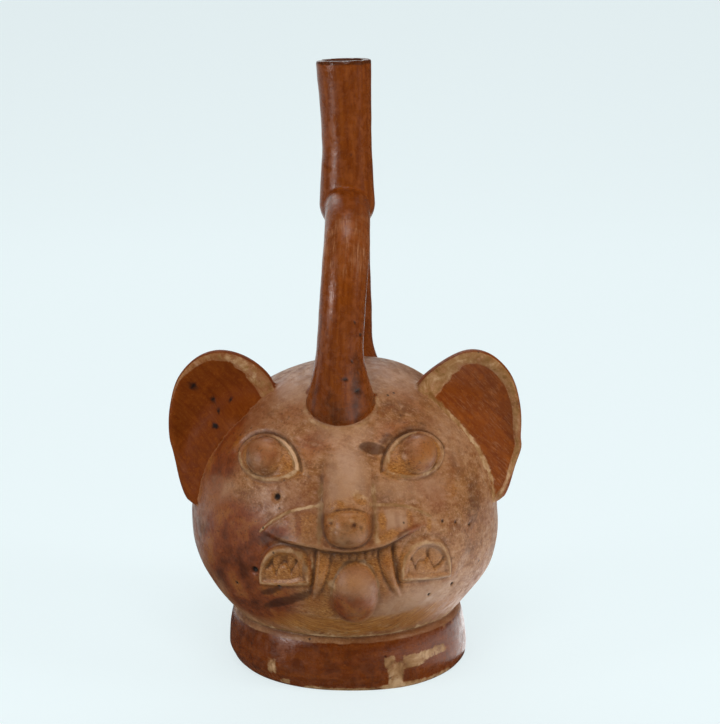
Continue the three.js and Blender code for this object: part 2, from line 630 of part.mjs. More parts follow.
function geometryOf(manifold) {
  const mesh = manifold.getMesh();
  const geometry = new THREE.BufferGeometry();
  geometry.setAttribute('position', new THREE.BufferAttribute(new Float32Array(mesh.vertProperties), 3));
  geometry.setIndex(new THREE.BufferAttribute(new Uint32Array(mesh.triVerts), 1));
  geometry.computeVertexNormals();
  return geometry;
}

function vesselGeometry() {
  const boreSunk = WALL + 4;
  const boreRadius = ARCH_OUTSIDE_RADIUS - ARCH_WALL;
  const body = solid(headGeometry())
    .add(solid(footGeometry()))
    .add(solid(earGeometry(EARS[0])))
    .add(solid(earGeometry(EARS[1])))
    .add(solid(archGeometry(null, ARCH_SIDES, WALL - 2)))
    .add(solid(spoutGeometry()));
  const hollow = solid(cavityGeometry())
    .add(solid(archGeometry(boreRadius, BORE_SIDES, boreSunk)))
    .add(solid(spoutBoreGeometry()));
  // Whatever of the round head would reach below the ground is cut away with the foot's recess.
  const below = new THREE.BoxGeometry(GROUND_WIDTH, GROUND_WIDTH, GROUND_DEPTH);
  below.translate(0, 0, -GROUND_DEPTH / 2);
  return geometryOf(body.subtract(hollow).subtract(solid(recessGeometry())).subtract(solid(below)));
}

const vessel = new THREE.Mesh(vesselGeometry(), clayRed);
vessel.name = 'vessel';
vessel.geometry.computeBoundingBox();
const boxMiddle = vessel.geometry.boundingBox.getCenter(new THREE.Vector3());
vessel.geometry.translate(-boxMiddle.x, -boxMiddle.y, 0);

const part = new THREE.Group();
part.add(vessel);

export default part;
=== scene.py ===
"""A stirrup-spout bottle of fired clay in the shape of a feline head, standing on a pale studio floor.

The vessel is modelled as one closed surface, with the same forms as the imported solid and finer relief.
Lengths in the modelling functions are millimetres, with the origin under the middle of the foot ring.
"""
import math

import bmesh
import bpy
import numpy as np
from mathutils import Matrix, Vector


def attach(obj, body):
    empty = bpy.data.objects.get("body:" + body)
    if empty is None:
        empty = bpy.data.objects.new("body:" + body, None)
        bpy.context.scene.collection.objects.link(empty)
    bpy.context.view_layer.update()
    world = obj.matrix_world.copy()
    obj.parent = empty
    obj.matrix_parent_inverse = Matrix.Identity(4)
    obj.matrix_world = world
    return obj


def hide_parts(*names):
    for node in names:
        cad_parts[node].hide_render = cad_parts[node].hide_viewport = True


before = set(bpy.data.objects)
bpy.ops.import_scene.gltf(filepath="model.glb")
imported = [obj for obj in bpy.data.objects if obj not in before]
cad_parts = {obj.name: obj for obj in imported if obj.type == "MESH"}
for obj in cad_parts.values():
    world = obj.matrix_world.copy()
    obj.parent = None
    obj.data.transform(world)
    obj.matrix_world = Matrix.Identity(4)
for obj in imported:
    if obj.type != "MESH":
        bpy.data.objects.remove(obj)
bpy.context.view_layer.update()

# Place of the foot ring's middle in the row's frame.
RING_PLACE = np.array([0.0, 5.41, 0.0])

# Sizes shared with the solid.
HEAD_RADIUS = 64.5
HEAD_MIDDLE = np.array([0.0, 0.0, 62.0])
WALL = 6.0
TAPER = 0.085
TAPER_START = 55.0
TAPER_RUN = 30.0
LOWER_SHIFT = -0.5
LOWER_SHIFT_ABOVE = (74, 50)
LOWER_SHIFT_BELOW = (12, 30)
SIDE_SWELL = 0.9
SIDE_SWELL_HEIGHT = 42
SIDE_FLAT = 0.9
SIDE_FLAT_HEIGHT = 66
SIDE_REACH = 8
CROWN_SWELL = 1.5
CROWN_SWELL_PLACE = (0.38, 0.2)
CROWN_SWELL_REACH = 0.3
VESSEL_HEIGHT = 250.0
FOOT_RADIUS = 50.2
FOOT_HEIGHT = 23.0
FOOT_NECK = 2.6
FOOT_BEVEL = 2.8
FOOT_WALL = 7.0
RECESS_HEIGHT = 5.0
FLOOR_HEIGHT = 11.0
ARCH_RADIUS = 9.1
ARCH_WALL = 3.6
ARCH_ROOTS = {"front": (13.8, 26.0, 1.55), "back": (12.6, 15.0, 1.9)}
ARCH_HALF_SPAN = 41.0
ARCH_FOOT_TILT = math.radians(59.5)
ARCH_TOP = 192.0
ARCH_SWAY = {"front": -3.4, "back": 0.7}
ARCH_OFFSET = 1.9
SPOUT_FOOT_RADIUS = 11.2
SPOUT_WAIST_RADIUS = 10.1
SPOUT_MOUTH_RADIUS = 11.1
SPOUT_WALL = 2.9
SPOUT_OFFSET = 1.8
SPOUT_LEAN = -0.9
SPOUT_BOW = 0.3
LIP_TILT = 0.02
SPOUT_FOOT = ARCH_TOP
SPOUT_RUN = VESSEL_HEIGHT - SPOUT_FOOT
EAR_HALF_THICKNESS = 3.0
EAR_DISH = 2.0
EAR_DEPTH = -9.0
EAR_TURN = math.radians(5)
EAR_SWELL = 11.0
EAR_MIDDLE = np.array([50.0, 103.0])
EAR_HALF_WIDTH = 22.8
EAR_HALF_HEIGHT = 30.4
EAR_BULGE = {1: 1.1, -1: -0.5}
EAR_BULGE_HEIGHT = 90
EAR_BULGE_REACH = 7
EAR_BULGE_TOP = (97, 91)
EAR_BULGE_OUT = (55, 66)
EAR_DIP = {1: 2.9, -1: 0.0}
EAR_DIP_OUT = 35
EAR_DIP_REACH = 14
EAR_DIP_HEIGHTS = (104, 114)
EAR_STREAK_LEAN = 0.75
# The free edge of an ear: shares of its half width outwards and of its half height upwards.
EAR_EDGE = [
    (-0.877, 0.625), (-0.439, 0.908), (0.044, 1), (0.45, 0.902), (0.803, 0.625), (0.961, 0.263),
    (1, -0.132), (0.917, -0.526), (0.583, -1.053), (-0.175, -0.954), (-0.789, -0.428), (-1.053, 0.164),
]

# Face features: s to the right and t up along the head's surface from the middle of the face.
EYES = [
    {"inner": (-18.6, 34.2), "outer": (-54.2, 41.8), "ball": (-35.4, 40.2), "rise": (12.4, 7.6)},
    {"inner": (15.8, 34.0), "outer": (50.0, 42.6), "ball": (32.2, 40.6), "rise": (12.4, 7.0)},
]
EYEBALL_RADIUS = 8.8
EYEBALL_HEIGHT = 5.0
NOSE_MIDDLE = 1.1
NOSE_HALF_WIDTH = 9.9
NOSE_RIDGE = [(4, 0), (6, 3.6), (8.5, 6.2), (12, 7.2), (18, 6.9), (26, 5.7), (34, 3.9), (41, 1.6), (48, 0)]
NOSE_TIP = {"middle": 12.3, "half": 7.0, "height": 3.0}
LIP_LINE = [(-40, 10), (-24, 6.1), (-13, 4.9), (0.5, 3.4), (13.4, 4.8), (23.3, 8), (34, 11), (44, 12)]
MUZZLE_LINE = [
    (-40, 4), (-35.3, 8.6), (-29.5, 13.6), (-21.2, 18.2), (-8.6, 21), (0.5, 21.4),
    (10, 21), (23.9, 19.6), (32.2, 16.2), (40, 10.6), (44, 6.5),
]
PAD_HEIGHT = 3.3
MUZZLE_SWELL = 2.4
MOUTH_DEPTH = 1.3
PANEL_SQUARENESS = 2.5
PANELS = [
    {"middle": -24.0, "half": 11.2, "height": 16.6, "base": -12.2, "slope": 0.18, "teeth": 3.5},
    {"middle": 33.4, "half": 12.2, "height": 17.6, "base": -12.0, "slope": -0.16, "teeth": 2.6},
]
CANINES = [((-8.0, 4.4), (-12.3, -17.0)), ((15.2, 4.8), (21.2, -16.0))]
CANINE_HALF_WIDTH = 2.2
CANINE_HEIGHT = 1.2
CANINE_BOW = 1.1
CHIN = {"middle": (4.2, -16.2), "half": (9.0, 15.8), "height": 6.0}
JAW = {"middle": (6, -4), "half": (48, 25)}
JAW_HEIGHT = 0.5

# Small hollows in the surface: s, t and radius.
PITS = [
    (-27.9, 23.6, 1.5), (-37.5, -8.2, 1.5), (-26.2, -12.8, 0.7), (-48.9, -18.4, 0.8), (48.2, -19.5, 0.9),
    (35.7, -20.4, 0.7), (41.1, 11.5, 0.6), (48.3, 9.8, 0.6), (57.7, 6.7, 0.7), (-4.7, 14.6, 0.8),
    (3.1, 14.1, 1.0), (5.4, 13.2, 0.6), (-6.4, 13.4, 0.6),
]
# The pits from this one on lie on the nose and are less dark.
NOSE_PITS_FROM = 9


def rise(start, end, x):
    k = np.clip((x - start) / (end - start), 0, 1)
    return k * k * (3 - 2 * k)


def bell(x, width):
    return np.exp(-(x / width) ** 2)


def through(points):
    """A smooth curve y(x) through points in order of x, level beyond its ends."""
    xs = np.array([p[0] for p in points], float)
    ys = np.array([p[1] for p in points], float)
    count = len(xs)
    low = np.maximum(np.arange(count) - 1, 0)
    high = np.minimum(np.arange(count) + 1, count - 1)
    slopes = (ys[high] - ys[low]) / (xs[high] - xs[low])

    def curve(x):
        inside = np.clip(x, xs[0], xs[-1])
        i = np.clip(np.searchsorted(xs, inside, side="right") - 1, 0, count - 2)
        span = xs[i + 1] - xs[i]
        k = (inside - xs[i]) / span
        ends = ys[i] * (1 + 2 * k) * (1 - k) ** 2 + ys[i + 1] * k * k * (3 - 2 * k)
        return ends + span * (slopes[i] * k * (1 - k) ** 2 - slopes[i + 1] * k * k * (1 - k))

    return curve


nose_ridge = through(NOSE_RIDGE)
lip_line = through(LIP_LINE)
muzzle_line = through(MUZZLE_LINE)


def arc_disc(a, b, arc_rise, side):
    """Middle and radius of the disc whose edge rises to one side of the chord from a to b."""
    a = np.array(a, float)
    b = np.array(b, float)
    chord = np.linalg.norm(b - a)
    radius = (chord * chord / 4 + arc_rise * arc_rise) / (2 * arc_rise)
    up = np.array([-(b - a)[1], (b - a)[0]]) / chord
    flip = -side if up[1] < 0 else side
    return (a + b) / 2 + up * (arc_rise - radius) * flip, radius


for eye in EYES:
    eye["discs"] = [arc_disc(eye["inner"], eye["outer"], r, side) for r, side in zip(eye["rise"], (1, -1))]


def outside_eye(eye, s, t):
    """How far a place lies outside the eye's outline, whose outer corner is blunter than its inner one."""
    upper, lower = (np.hypot(s - middle[0], t - middle[1]) - radius for middle, radius in eye["discs"])
    inner, outer = np.array(eye["inner"], float), np.array(eye["outer"], float)
    chord = outer - inner
    along = ((s - inner[0]) * chord[0] + (t - inner[1]) * chord[1]) / (chord @ chord)
    blunt = 1.2 + 5.3 * rise(0.45, 0.95, along)
    return 0.5 * (upper + lower + np.sqrt((upper - lower) ** 2 + blunt ** 2)), upper > lower


def eye_relief(eye, s, t):
    outside, upper = outside_eye(eye, s, t)
    from_ball = np.hypot(s - eye["ball"][0], t - eye["ball"][1]) / EYEBALL_RADIUS
    ball = EYEBALL_HEIGHT * np.clip(1 - from_ball ** 2, 0, 1) ** 0.85 - 0.12 * bell(from_ball - 1.04, 0.1)
    dome = 1.6 * rise(0, -5.5, outside)
    rim = 0.8 * bell(outside + 0.5, 0.8)
    lid = -(0.2 + 0.7 * upper) * bell(outside - 1.0, 0.7)
    fold = 0.5 * upper * bell(outside - 3.4, 2.2)
    return (ball + dome) * rise(0, -1.8, outside) + rim + lid + fold


def nose_relief(s, t):
    aside = np.clip(np.abs(s - NOSE_MIDDLE) / (NOSE_HALF_WIDTH * (1 - 0.2 * rise(12, 4, t))), 0, 1)
    form = (1 - aside ** 2.3) ** 0.8
    up = (t - NOSE_TIP["middle"]) / NOSE_TIP["half"]
    tip = NOSE_TIP["height"] * np.clip(1 - up ** 2 - 0.9 * aside ** 2, 0, 1) ** 0.6
    crease = -0.7 * bell(np.hypot(up, 0.7 * aside) - 0.96, 0.09) * rise(0.1, 0.5, up)
    wing = -0.4 * bell(np.hypot(s + 3.6, t - 9.6) - 2.8, 0.35) * rise(8.5, 10.5, t)
    return (np.maximum(0, nose_ridge(t)) + tip + crease + wing) * form


def pad_relief(s, t):
    below = muzzle_line(s) - t
    above = t - lip_line(s)
    ends = rise(-40, -14, s) * rise(40, 14, s)
    pad = (0.25 * rise(0, 3, below) + 0.75 * rise(1, 14, below)) * rise(-0.5, 1.4, above) * ends
    line = 0.6 * bell(below, 0.8) * rise(-38, -33, s) * rise(42, 37, s)
    above_line = -0.2 * bell(below + 1.7, 1.0) * rise(-38, -33, s) * rise(42, 37, s)
    return PAD_HEIGHT * pad + (line + above_line) * rise(0, 2, above)


def mouth_relief(s, t):
    below = lip_line(s) - t
    across = rise(-12.5, -8, s) * rise(21, 16, s)
    hollow = -MOUTH_DEPTH * rise(0, 1, below) * rise(13, 3, below) * across
    step = np.abs(np.sin(np.pi * (s + 4.5) / 3)) ** 0.5 * rise(-6, -4.5, s) * rise(13, 11.5, s)
    teeth = 0.8 * step * rise(0.5, 1.1, below) * rise(4.2, 3.2, below)
    edge = 0.4 * bell(below + 0.9, 0.6) * rise(-30, -18, s) * rise(26, 16, s)
    return hollow + teeth + edge


def panel_place(panel, s, t):
    """Height over a panel's base line, and 1 along its arched outline, which has square shoulders."""
    above = t - panel["base"] - panel["slope"] * (s - panel["middle"])
    across = np.abs(s - panel["middle"]) / panel["half"]
    up = np.abs(above / panel["height"])
    return above, (across ** PANEL_SQUARENESS + up ** PANEL_SQUARENESS) ** (1 / PANEL_SQUARENESS)


def inside_panel(panel, s, t):
    above, around = panel_place(panel, s, t)
    return np.minimum((1 - around) * panel["half"], above)


def panel_relief(panel, s, t):
    inside = inside_panel(panel, s, t)
    above, _ = panel_place(panel, s, t)
    outwards = np.sign(panel["middle"]) * (s - panel["middle"])
    to_nose = rise(0.1, 0.8, -outwards / panel["half"])
    border = 0.95 * bell(inside - 1.1 - 0.5 * to_nose, 1.0 + 0.5 * to_nose) - 0.45 * bell(inside + 0.8, 0.8)
    turns = (s - panel["middle"]) / (2 * panel["half"]) * panel["teeth"] + 0.12 * np.sin(0.9 * s)
    saw = 4 * np.abs(turns - np.floor(turns) - 0.5) - 1
    from_teeth = above - 0.4 * panel["height"] - 2.4 * saw * (1 + 0.25 * np.sin(0.7 * s + 1))
    upper_teeth = 0.5 * rise(1.4, 2.2, from_teeth)
    floor = -1.1 + 0.9 * rise(0.5, -0.3, from_teeth) + upper_teeth * rise(1.5, 3, inside)
    hole = -0.9 * bell(above - 0.66 * panel["height"], 2.0) * rise(0.1, 0.7, saw) * rise(2, 3.4, inside)
    sunk = rise(1.6 + to_nose, 2.6 + to_nose, inside)
    return np.where(inside > -3, border + sunk * (floor + hole), 0)


def canine_relief(canine, s, t):
    root, tip = np.array(canine[0]), np.array(canine[1])
    along = tip - root
    length = np.linalg.norm(along)
    k = ((s - root[0]) * along[0] + (t - root[1]) * along[1]) / length ** 2
    bow = CANINE_BOW * np.sign(along[0]) * np.sin(np.pi * np.clip(k, 0, 1))
    aside = ((s - root[0]) * along[1] - (t - root[1]) * along[0]) / length - bow
    half = 0.5 + CANINE_HALF_WIDTH * np.sqrt(np.clip(1 - k, 0, 1))
    ends = rise(-0.05, 0.1, k) * rise(1.15, 0.7, k)
    tooth = CANINE_HEIGHT * np.sqrt(np.clip(1 - (aside / half) ** 2, 0, 1))
    outwards = rise(-1, 1, -aside * np.sign(along[0]))
    return (tooth - (0.25 + 0.65 * outwards) * bell(np.abs(aside) - half - 0.6, 0.8)) * ends


def chin_out(s, t):
    """0 at the middle of the chin and 1 at its egg-shaped outline, which is broader above."""
    up = (t - CHIN["middle"][1]) / CHIN["half"][1]
    return np.hypot((s - CHIN["middle"][0]) / (CHIN["half"][0] * (1 + 0.06 * rise(0, 1, up))), up)


def chin_relief(s, t):
    out = chin_out(s, t)
    sharp = 1.25 - 0.45 * rise(-20, -6, t)
    return CHIN["height"] * np.clip(1 - out * out, 0, 1) ** sharp


def jaw_inside(s, t):
    out = np.hypot((s - JAW["middle"][0]) / JAW["half"][0], (t - JAW["middle"][1]) / JAW["half"][1])
    return (1 - out) * JAW["half"][1]


def pit_depth(s, t):
    depth = 0
    for place_s, place_t, radius in PITS:
        depth = depth + 1.1 * radius * bell(np.hypot(s - place_s, t - place_t), radius)
    return depth


def relief(s, t):
    """Height of the modelling over the head's round body."""
    height = MUZZLE_SWELL * np.exp(-((s - 2) / 34) ** 2 - ((t + 2) / 26) ** 2)
    height = height + np.maximum(pad_relief(s, t), nose_relief(s, t)) + mouth_relief(s, t)
    height = height + chin_relief(s, t) + JAW_HEIGHT * rise(-1.5, 2, jaw_inside(s, t)) * rise(2, -12, t)
    for eye in EYES:
        height = height + eye_relief(eye, s, t)
    for panel in PANELS:
        height = height + panel_relief(panel, s, t)
    for canine in CANINES:
        height = height + canine_relief(canine, s, t)
    return height - pit_depth(s, t)


def side_swell(direction, z):
    """The head's right side is a little flat at its middle and fuller below and at the crown."""
    swell = SIDE_SWELL * bell(z - SIDE_SWELL_HEIGHT, SIDE_REACH)
    swell = swell - SIDE_FLAT * bell(z - SIDE_FLAT_HEIGHT, SIDE_REACH)
    from_crown = np.hypot(direction[:, 0] - CROWN_SWELL_PLACE[0], direction[:, 1] - CROWN_SWELL_PLACE[1])
    crown = CROWN_SWELL * bell(from_crown, CROWN_SWELL_REACH) * rise(0.5, 0.8, direction[:, 2])
    return swell * rise(0.45, 0.95, direction[:, 0]) + crown


def narrowing(z):
    """The head's share of its round width at each height: it narrows towards the foot."""
    return 1 - TAPER * np.clip((TAPER_START - z) / TAPER_RUN, 0, 1.4) ** 1.8


def lower_shift(z):
    """How far the lower half of the head sits aside of the crown."""
    return LOWER_SHIFT * rise(*LOWER_SHIFT_ABOVE, z) * rise(*LOWER_SHIFT_BELOW, z)


def narrowed(points):
    shaped = points.copy()
    shaped[:, :2] *= narrowing(points[:, 2])[:, None]
    shaped[:, 0] += lower_shift(points[:, 2])
    return shaped


def face_place(points):
    """Each point's place on the face, and its distance from the middle of the round head."""
    round_points = points.copy()
    round_points[:, 0] -= lower_shift(points[:, 2])
    round_points[:, :2] /= narrowing(points[:, 2])[:, None]
    offset = round_points - HEAD_MIDDLE
    distance = np.linalg.norm(offset, axis=1)
    direction = offset / np.maximum(distance, 1e-6)[:, None]
    angle = np.arccos(np.clip(-direction[:, 1], -1, 1))
    k = HEAD_RADIUS * angle / np.maximum(np.hypot(direction[:, 0], direction[:, 2]), 1e-9)
    return direction[:, 0] * k, direction[:, 2] * k, distance


def face_direction(places):
    """The direction out of the head's middle for each place (s, t) on the face."""
    reach = np.linalg.norm(places, axis=1)
    angle = reach / HEAD_RADIUS
    k = np.sin(angle) / np.maximum(reach, 1e-9)
    return np.stack([places[:, 0] * k, -np.cos(angle), places[:, 1] * k], axis=1)


def wobble(points, size, seed):
    """A soft, uneven swell between about -1 and 1 with waves of the given length."""
    random = np.random.default_rng(seed)
    total = np.zeros(len(points))
    for _ in range(7):
        wave = random.normal(size=3)
        wave *= 2 * np.pi / (size * np.linalg.norm(wave) * random.uniform(0.7, 1.4))
        total += np.sin(points @ wave + random.uniform(0, 6.28))
    return total / 3.2


def smooth_curve(points, count, closed=False):
    """Evenly spaced points on a centripetal curve through the given ones."""
    points = [np.array(p, float) for p in points]
    if closed:
        chain = [points[-1]] + points + points[:2]
    else:
        chain = [2 * points[0] - points[1]] + points + [2 * points[-1] - points[-2]]
    fine = []
    for p0, p1, p2, p3 in zip(chain, chain[1:], chain[2:], chain[3:]):
        d0, d1, d2 = (math.sqrt(np.linalg.norm(b - a)) for a, b in ((p0, p1), (p1, p2), (p2, p3)))
        m1 = ((p1 - p0) / d0 - (p2 - p0) / (d0 + d1) + (p2 - p1) / d1) * d1
        m2 = ((p2 - p1) / d1 - (p3 - p1) / (d1 + d2) + (p3 - p2) / d2) * d1
        for k in np.linspace(0, 1, 40, endpoint=False):
            ends = p1 * (1 + 2 * k) * (1 - k) ** 2 + p2 * k * k * (3 - 2 * k)
            fine.append(ends + m1 * k * (1 - k) ** 2 - m2 * k * k * (1 - k))
    fine.append(points[0] if closed else points[-1])
    fine = np.array(fine)
    lengths = np.concatenate([[0], np.cumsum(np.linalg.norm(np.diff(fine, axis=0), axis=1))])
    steps = np.linspace(0, lengths[-1], count, endpoint=not closed)
    return np.stack([np.interp(steps, lengths, fine[:, i]) for i in range(3)], axis=1), lengths[-1]


def arch_foot(radius):
    return radius * math.cos(ARCH_FOOT_TILT), HEAD_MIDDLE[2] + radius * math.sin(ARCH_FOOT_TILT)


def arch_line(sunk, count):
    """Points along the stirrup's middle line, and its length."""
    foot_y, foot_z = arch_foot(HEAD_RADIUS)
    loop = ARCH_TOP - foot_z
    shape = [(0.945, 0.2), (1, 0.4), (0.97, 0.6), (0.84, 0.78), (0.6, 0.9), (0.3, 0.975)]
    half = [arch_foot(HEAD_RADIUS - sunk), (foot_y, foot_z)]
    half += [(ARCH_HALF_SPAN * out, foot_z + loop * up) for out, up in shape]
    front = [(0, -y, z) for y, z in half]
    back = [(0, y, z) for y, z in reversed(half)]
    return smooth_curve(front + [(0, 0, ARCH_TOP)] + back, count)


def sway(middles):
    """The stirrup's legs lean a little aside from the spout's axis as they go down."""
    lean = np.where(middles[:, 1] < 0, ARCH_SWAY["front"], ARCH_SWAY["back"])
    middles[:, 0] += ARCH_OFFSET + lean * rise(190, 135, middles[:, 2])
    return middles


def arch_flare(share, length, sunk, radius, flared):
    """The tube's radius along its length, wider where it stands on the head."""
    total = np.full(len(share), float(radius))
    for name, from_end in (("front", share), ("back", 1 - share)):
        root, run, bend = ARCH_ROOTS[name]
        spread = (1 - np.clip((from_end * length - sunk) / run, 0, 1)) ** bend
        total += flared * (root - radius) * spread * (from_end <= 0.5)
    return total


def arch_tube(radius, flared, sides, sunk, count):
    line, length = arch_line(sunk, count)
    along = np.gradient(line, axis=0)
    along /= np.linalg.norm(along, axis=1)[:, None]
    across = np.array([1.0, 0, 0])
    outward = np.cross(along, across)
    radii = arch_flare(np.linspace(0, 1, count), length, sunk, radius, flared)
    line = sway(line)
    turn = 2 * np.pi * np.arange(sides) / sides
    return line[:, None] + radii[:, None, None] * (
        np.cos(turn)[None, :, None] * across + np.sin(turn)[None, :, None] * outward[:, None])


arch_middles, arch_length = arch_line(2.0, 260)
arch_share = np.linspace(0, 1, 260)
arch_radii = arch_flare(arch_share, arch_length, 2, ARCH_RADIUS, True)
arch_middles = sway(arch_middles)


def arch_place(points):
    """Distance outside the stirrup's tube, length along it, and turn about its middle line."""
    gap = np.full(len(points), 1e9)
    near = np.zeros(len(points), int)
    for i, middle in enumerate(arch_middles):
        out = np.linalg.norm(points - middle, axis=1) - arch_radii[i]
        closer = out < gap
        gap[closer] = out[closer]
        near[closer] = i
    offset = points - arch_middles[near]
    along = np.gradient(arch_middles, axis=0)[near]
    along /= np.linalg.norm(along, axis=1)[:, None]
    outward = np.cross(along, np.array([1.0, 0, 0]))
    turn = np.arctan2(np.einsum("ij,ij->i", offset, outward), offset[:, 0])
    return gap, arch_share[near] * arch_length, turn


spout_radius = through([
    (SPOUT_FOOT, SPOUT_FOOT_RADIUS),
    (SPOUT_FOOT + 0.17 * SPOUT_RUN, (SPOUT_FOOT_RADIUS + SPOUT_WAIST_RADIUS) / 2),
    (SPOUT_FOOT + 0.36 * SPOUT_RUN, SPOUT_WAIST_RADIUS),
    (SPOUT_FOOT + 0.7 * SPOUT_RUN, SPOUT_WAIST_RADIUS + 0.3),
    (VESSEL_HEIGHT, SPOUT_MOUTH_RADIUS),
])


def spout_middle(z):
    up = np.clip((z - SPOUT_FOOT) / SPOUT_RUN, 0, 1.1)
    return SPOUT_OFFSET + SPOUT_LEAN * up * up + SPOUT_BOW * np.sin(math.pi * np.clip(up, 0, 1))


def turned(profile, sides):
    """Rings about the upright axis from (radius, height) pairs that run upwards."""
    turn = 2 * np.pi * np.arange(sides) / sides
    return np.array([
        np.stack([r * np.cos(turn), r * np.sin(turn), np.full(sides, z)], axis=1) for r, z in profile
    ])


def mesh_object(name, points, faces):
    mesh = bpy.data.meshes.new(name)
    mesh.from_pydata([tuple(p) for p in points], [], faces)
    work = bmesh.new()
    work.from_mesh(mesh)
    bmesh.ops.recalc_face_normals(work, faces=work.faces)
    if work.calc_volume(signed=True) < 0:
        bmesh.ops.reverse_faces(work, faces=work.faces)
    bmesh.ops.triangulate(work, faces=work.faces)
    work.to_mesh(mesh)
    work.free()
    thing = bpy.data.objects.new(name, mesh)
    bpy.context.scene.collection.objects.link(thing)
    return thing


def skin(name, rings):
    """A closed tube through rings of points."""
    count, sides = rings.shape[:2]
    points = list(rings.reshape(-1, 3))
    faces = []
    for r in range(count - 1):
        for i in range(sides):
            j = (i + 1) % sides
            faces.append((r * sides + i, r * sides + j, (r + 1) * sides + j, (r + 1) * sides + i))
    for r in (0, count - 1):
        middle = len(points)
        points.append(rings[r].mean(axis=0))
        faces += [(middle, r * sides + i, r * sides + (i + 1) % sides) for i in range(sides)]
    return mesh_object(name, points, faces)


def stitch(first, first_count, second, second_count, faces):
    """Triangles between two rings that may have different numbers of points."""
    i = j = 0
    while i < first_count or j < second_count:
        a, b = first + i % first_count, second + j % second_count
        if j >= second_count or (i < first_count and (i + 1) * second_count < (j + 1) * first_count):
            faces.append((a, b, first + (i + 1) % first_count))
            i += 1
        else:
            faces.append((a, b, second + (j + 1) % second_count))
            j += 1


def head_object():
    """The head, from rings about the middle of the face: close together there and wider apart behind."""
    fine = 0.62
    reach = fine
    places = [(0.0, 0.0)]
    starts = []
    while reach < math.pi * HEAD_RADIUS - 2:
        step = fine + 1.7 * float(rise(58, 95, reach))
        round_length = 2 * math.pi * HEAD_RADIUS * math.sin(reach / HEAD_RADIUS)
        count = max(6, round(round_length / step))
        starts.append((len(places), count))
        for i in range(count):
            turn = 2 * math.pi * i / count
            places.append((reach * math.cos(turn), reach * math.sin(turn)))
        reach += step * 0.9
    faces = []
    first, count = starts[0]
    faces += [(0, first + i, first + (i + 1) % count) for i in range(count)]
    for (a, a_count), (b, b_count) in zip(starts, starts[1:]):
        stitch(a, a_count, b, b_count, faces)
    places.append((0.0, math.pi * HEAD_RADIUS))
    last, count = starts[-1]
    faces += [(len(places) - 1, last + i, last + (i + 1) % count) for i in range(count)]
    places = np.array(places)
    direction = face_direction(places)
    direction[0] = (0, -1, 0)
    surface = HEAD_MIDDLE + direction * HEAD_RADIUS
    height = relief(places[:, 0], places[:, 1])
    height += side_swell(direction, surface[:, 2])
    height += 0.28 * wobble(surface, 46, 3) + 0.1 * wobble(surface, 15, 4)
    gap, _, _ = arch_place(surface)
    height += 0.8 * bell(gap - 1.2, 1.7) * (0.75 + 0.35 * wobble(surface, 9, 6))
    return mesh_object("head", narrowed(HEAD_MIDDLE + direction * (HEAD_RADIUS + height)[:, None]), faces)


def foot_object():
    neck = FOOT_RADIUS - FOOT_NECK
    profile = through([
        (0, FOOT_RADIUS - 0.1), (0.3 * FOOT_HEIGHT, FOOT_RADIUS + 0.1),
        (0.62 * FOOT_HEIGHT, FOOT_RADIUS - 0.5), (0.85 * FOOT_HEIGHT, FOOT_RADIUS - 1.4), (FOOT_HEIGHT, neck),
    ])
    rows = [(FOOT_RADIUS - 1.6, 0), (FOOT_RADIUS - 1.0, 0.15), (FOOT_RADIUS - 0.65, 0.6)]
    rows += [(float(profile(z)), z) for z in np.linspace(1.3, FOOT_HEIGHT - 0.6, 24)]
    rows += [(neck - 0.6, FOOT_HEIGHT - 0.05), (neck - 3, FOOT_HEIGHT + 0.5)]
    rings = turned(rows, 180)
    flat = rings.reshape(-1, 3)
    swell = (0.22 * wobble(flat, 30, 8) + 0.08 * wobble(flat, 9, 9)) * rise(0, 3, flat[:, 2])
    around = np.maximum(np.hypot(flat[:, 0], flat[:, 1]), 1e-6)
    worn = rise(0.3, 0.9, -(0.6 * flat[:, 0] + 0.8 * flat[:, 1]) / around)
    swell -= FOOT_BEVEL * worn * rise(7.5, 0, flat[:, 2])
    flat[:, :2] *= (1 + swell / around)[:, None]
    return skin("foot", rings)


def ear_outline(side, count):
    edge = [(EAR_MIDDLE[0] + EAR_HALF_WIDTH * out, 0, EAR_MIDDLE[1] + EAR_HALF_HEIGHT * up)
            for out, up in EAR_EDGE]
    outline, _ = smooth_curve(edge, count, closed=True)
    bulge = bell(outline[:, 2] - EAR_BULGE_HEIGHT, EAR_BULGE_REACH)
    bulge = bulge * rise(*EAR_BULGE_TOP, outline[:, 2]) * rise(*EAR_BULGE_OUT, outline[:, 0])
    outline[:, 0] += EAR_BULGE[side] * bulge
    dip = EAR_DIP[side] * bell(outline[:, 0] - EAR_DIP_OUT, EAR_DIP_REACH)
    outline[:, 2] -= dip * rise(*EAR_DIP_HEIGHTS, outline[:, 2])
    return outline


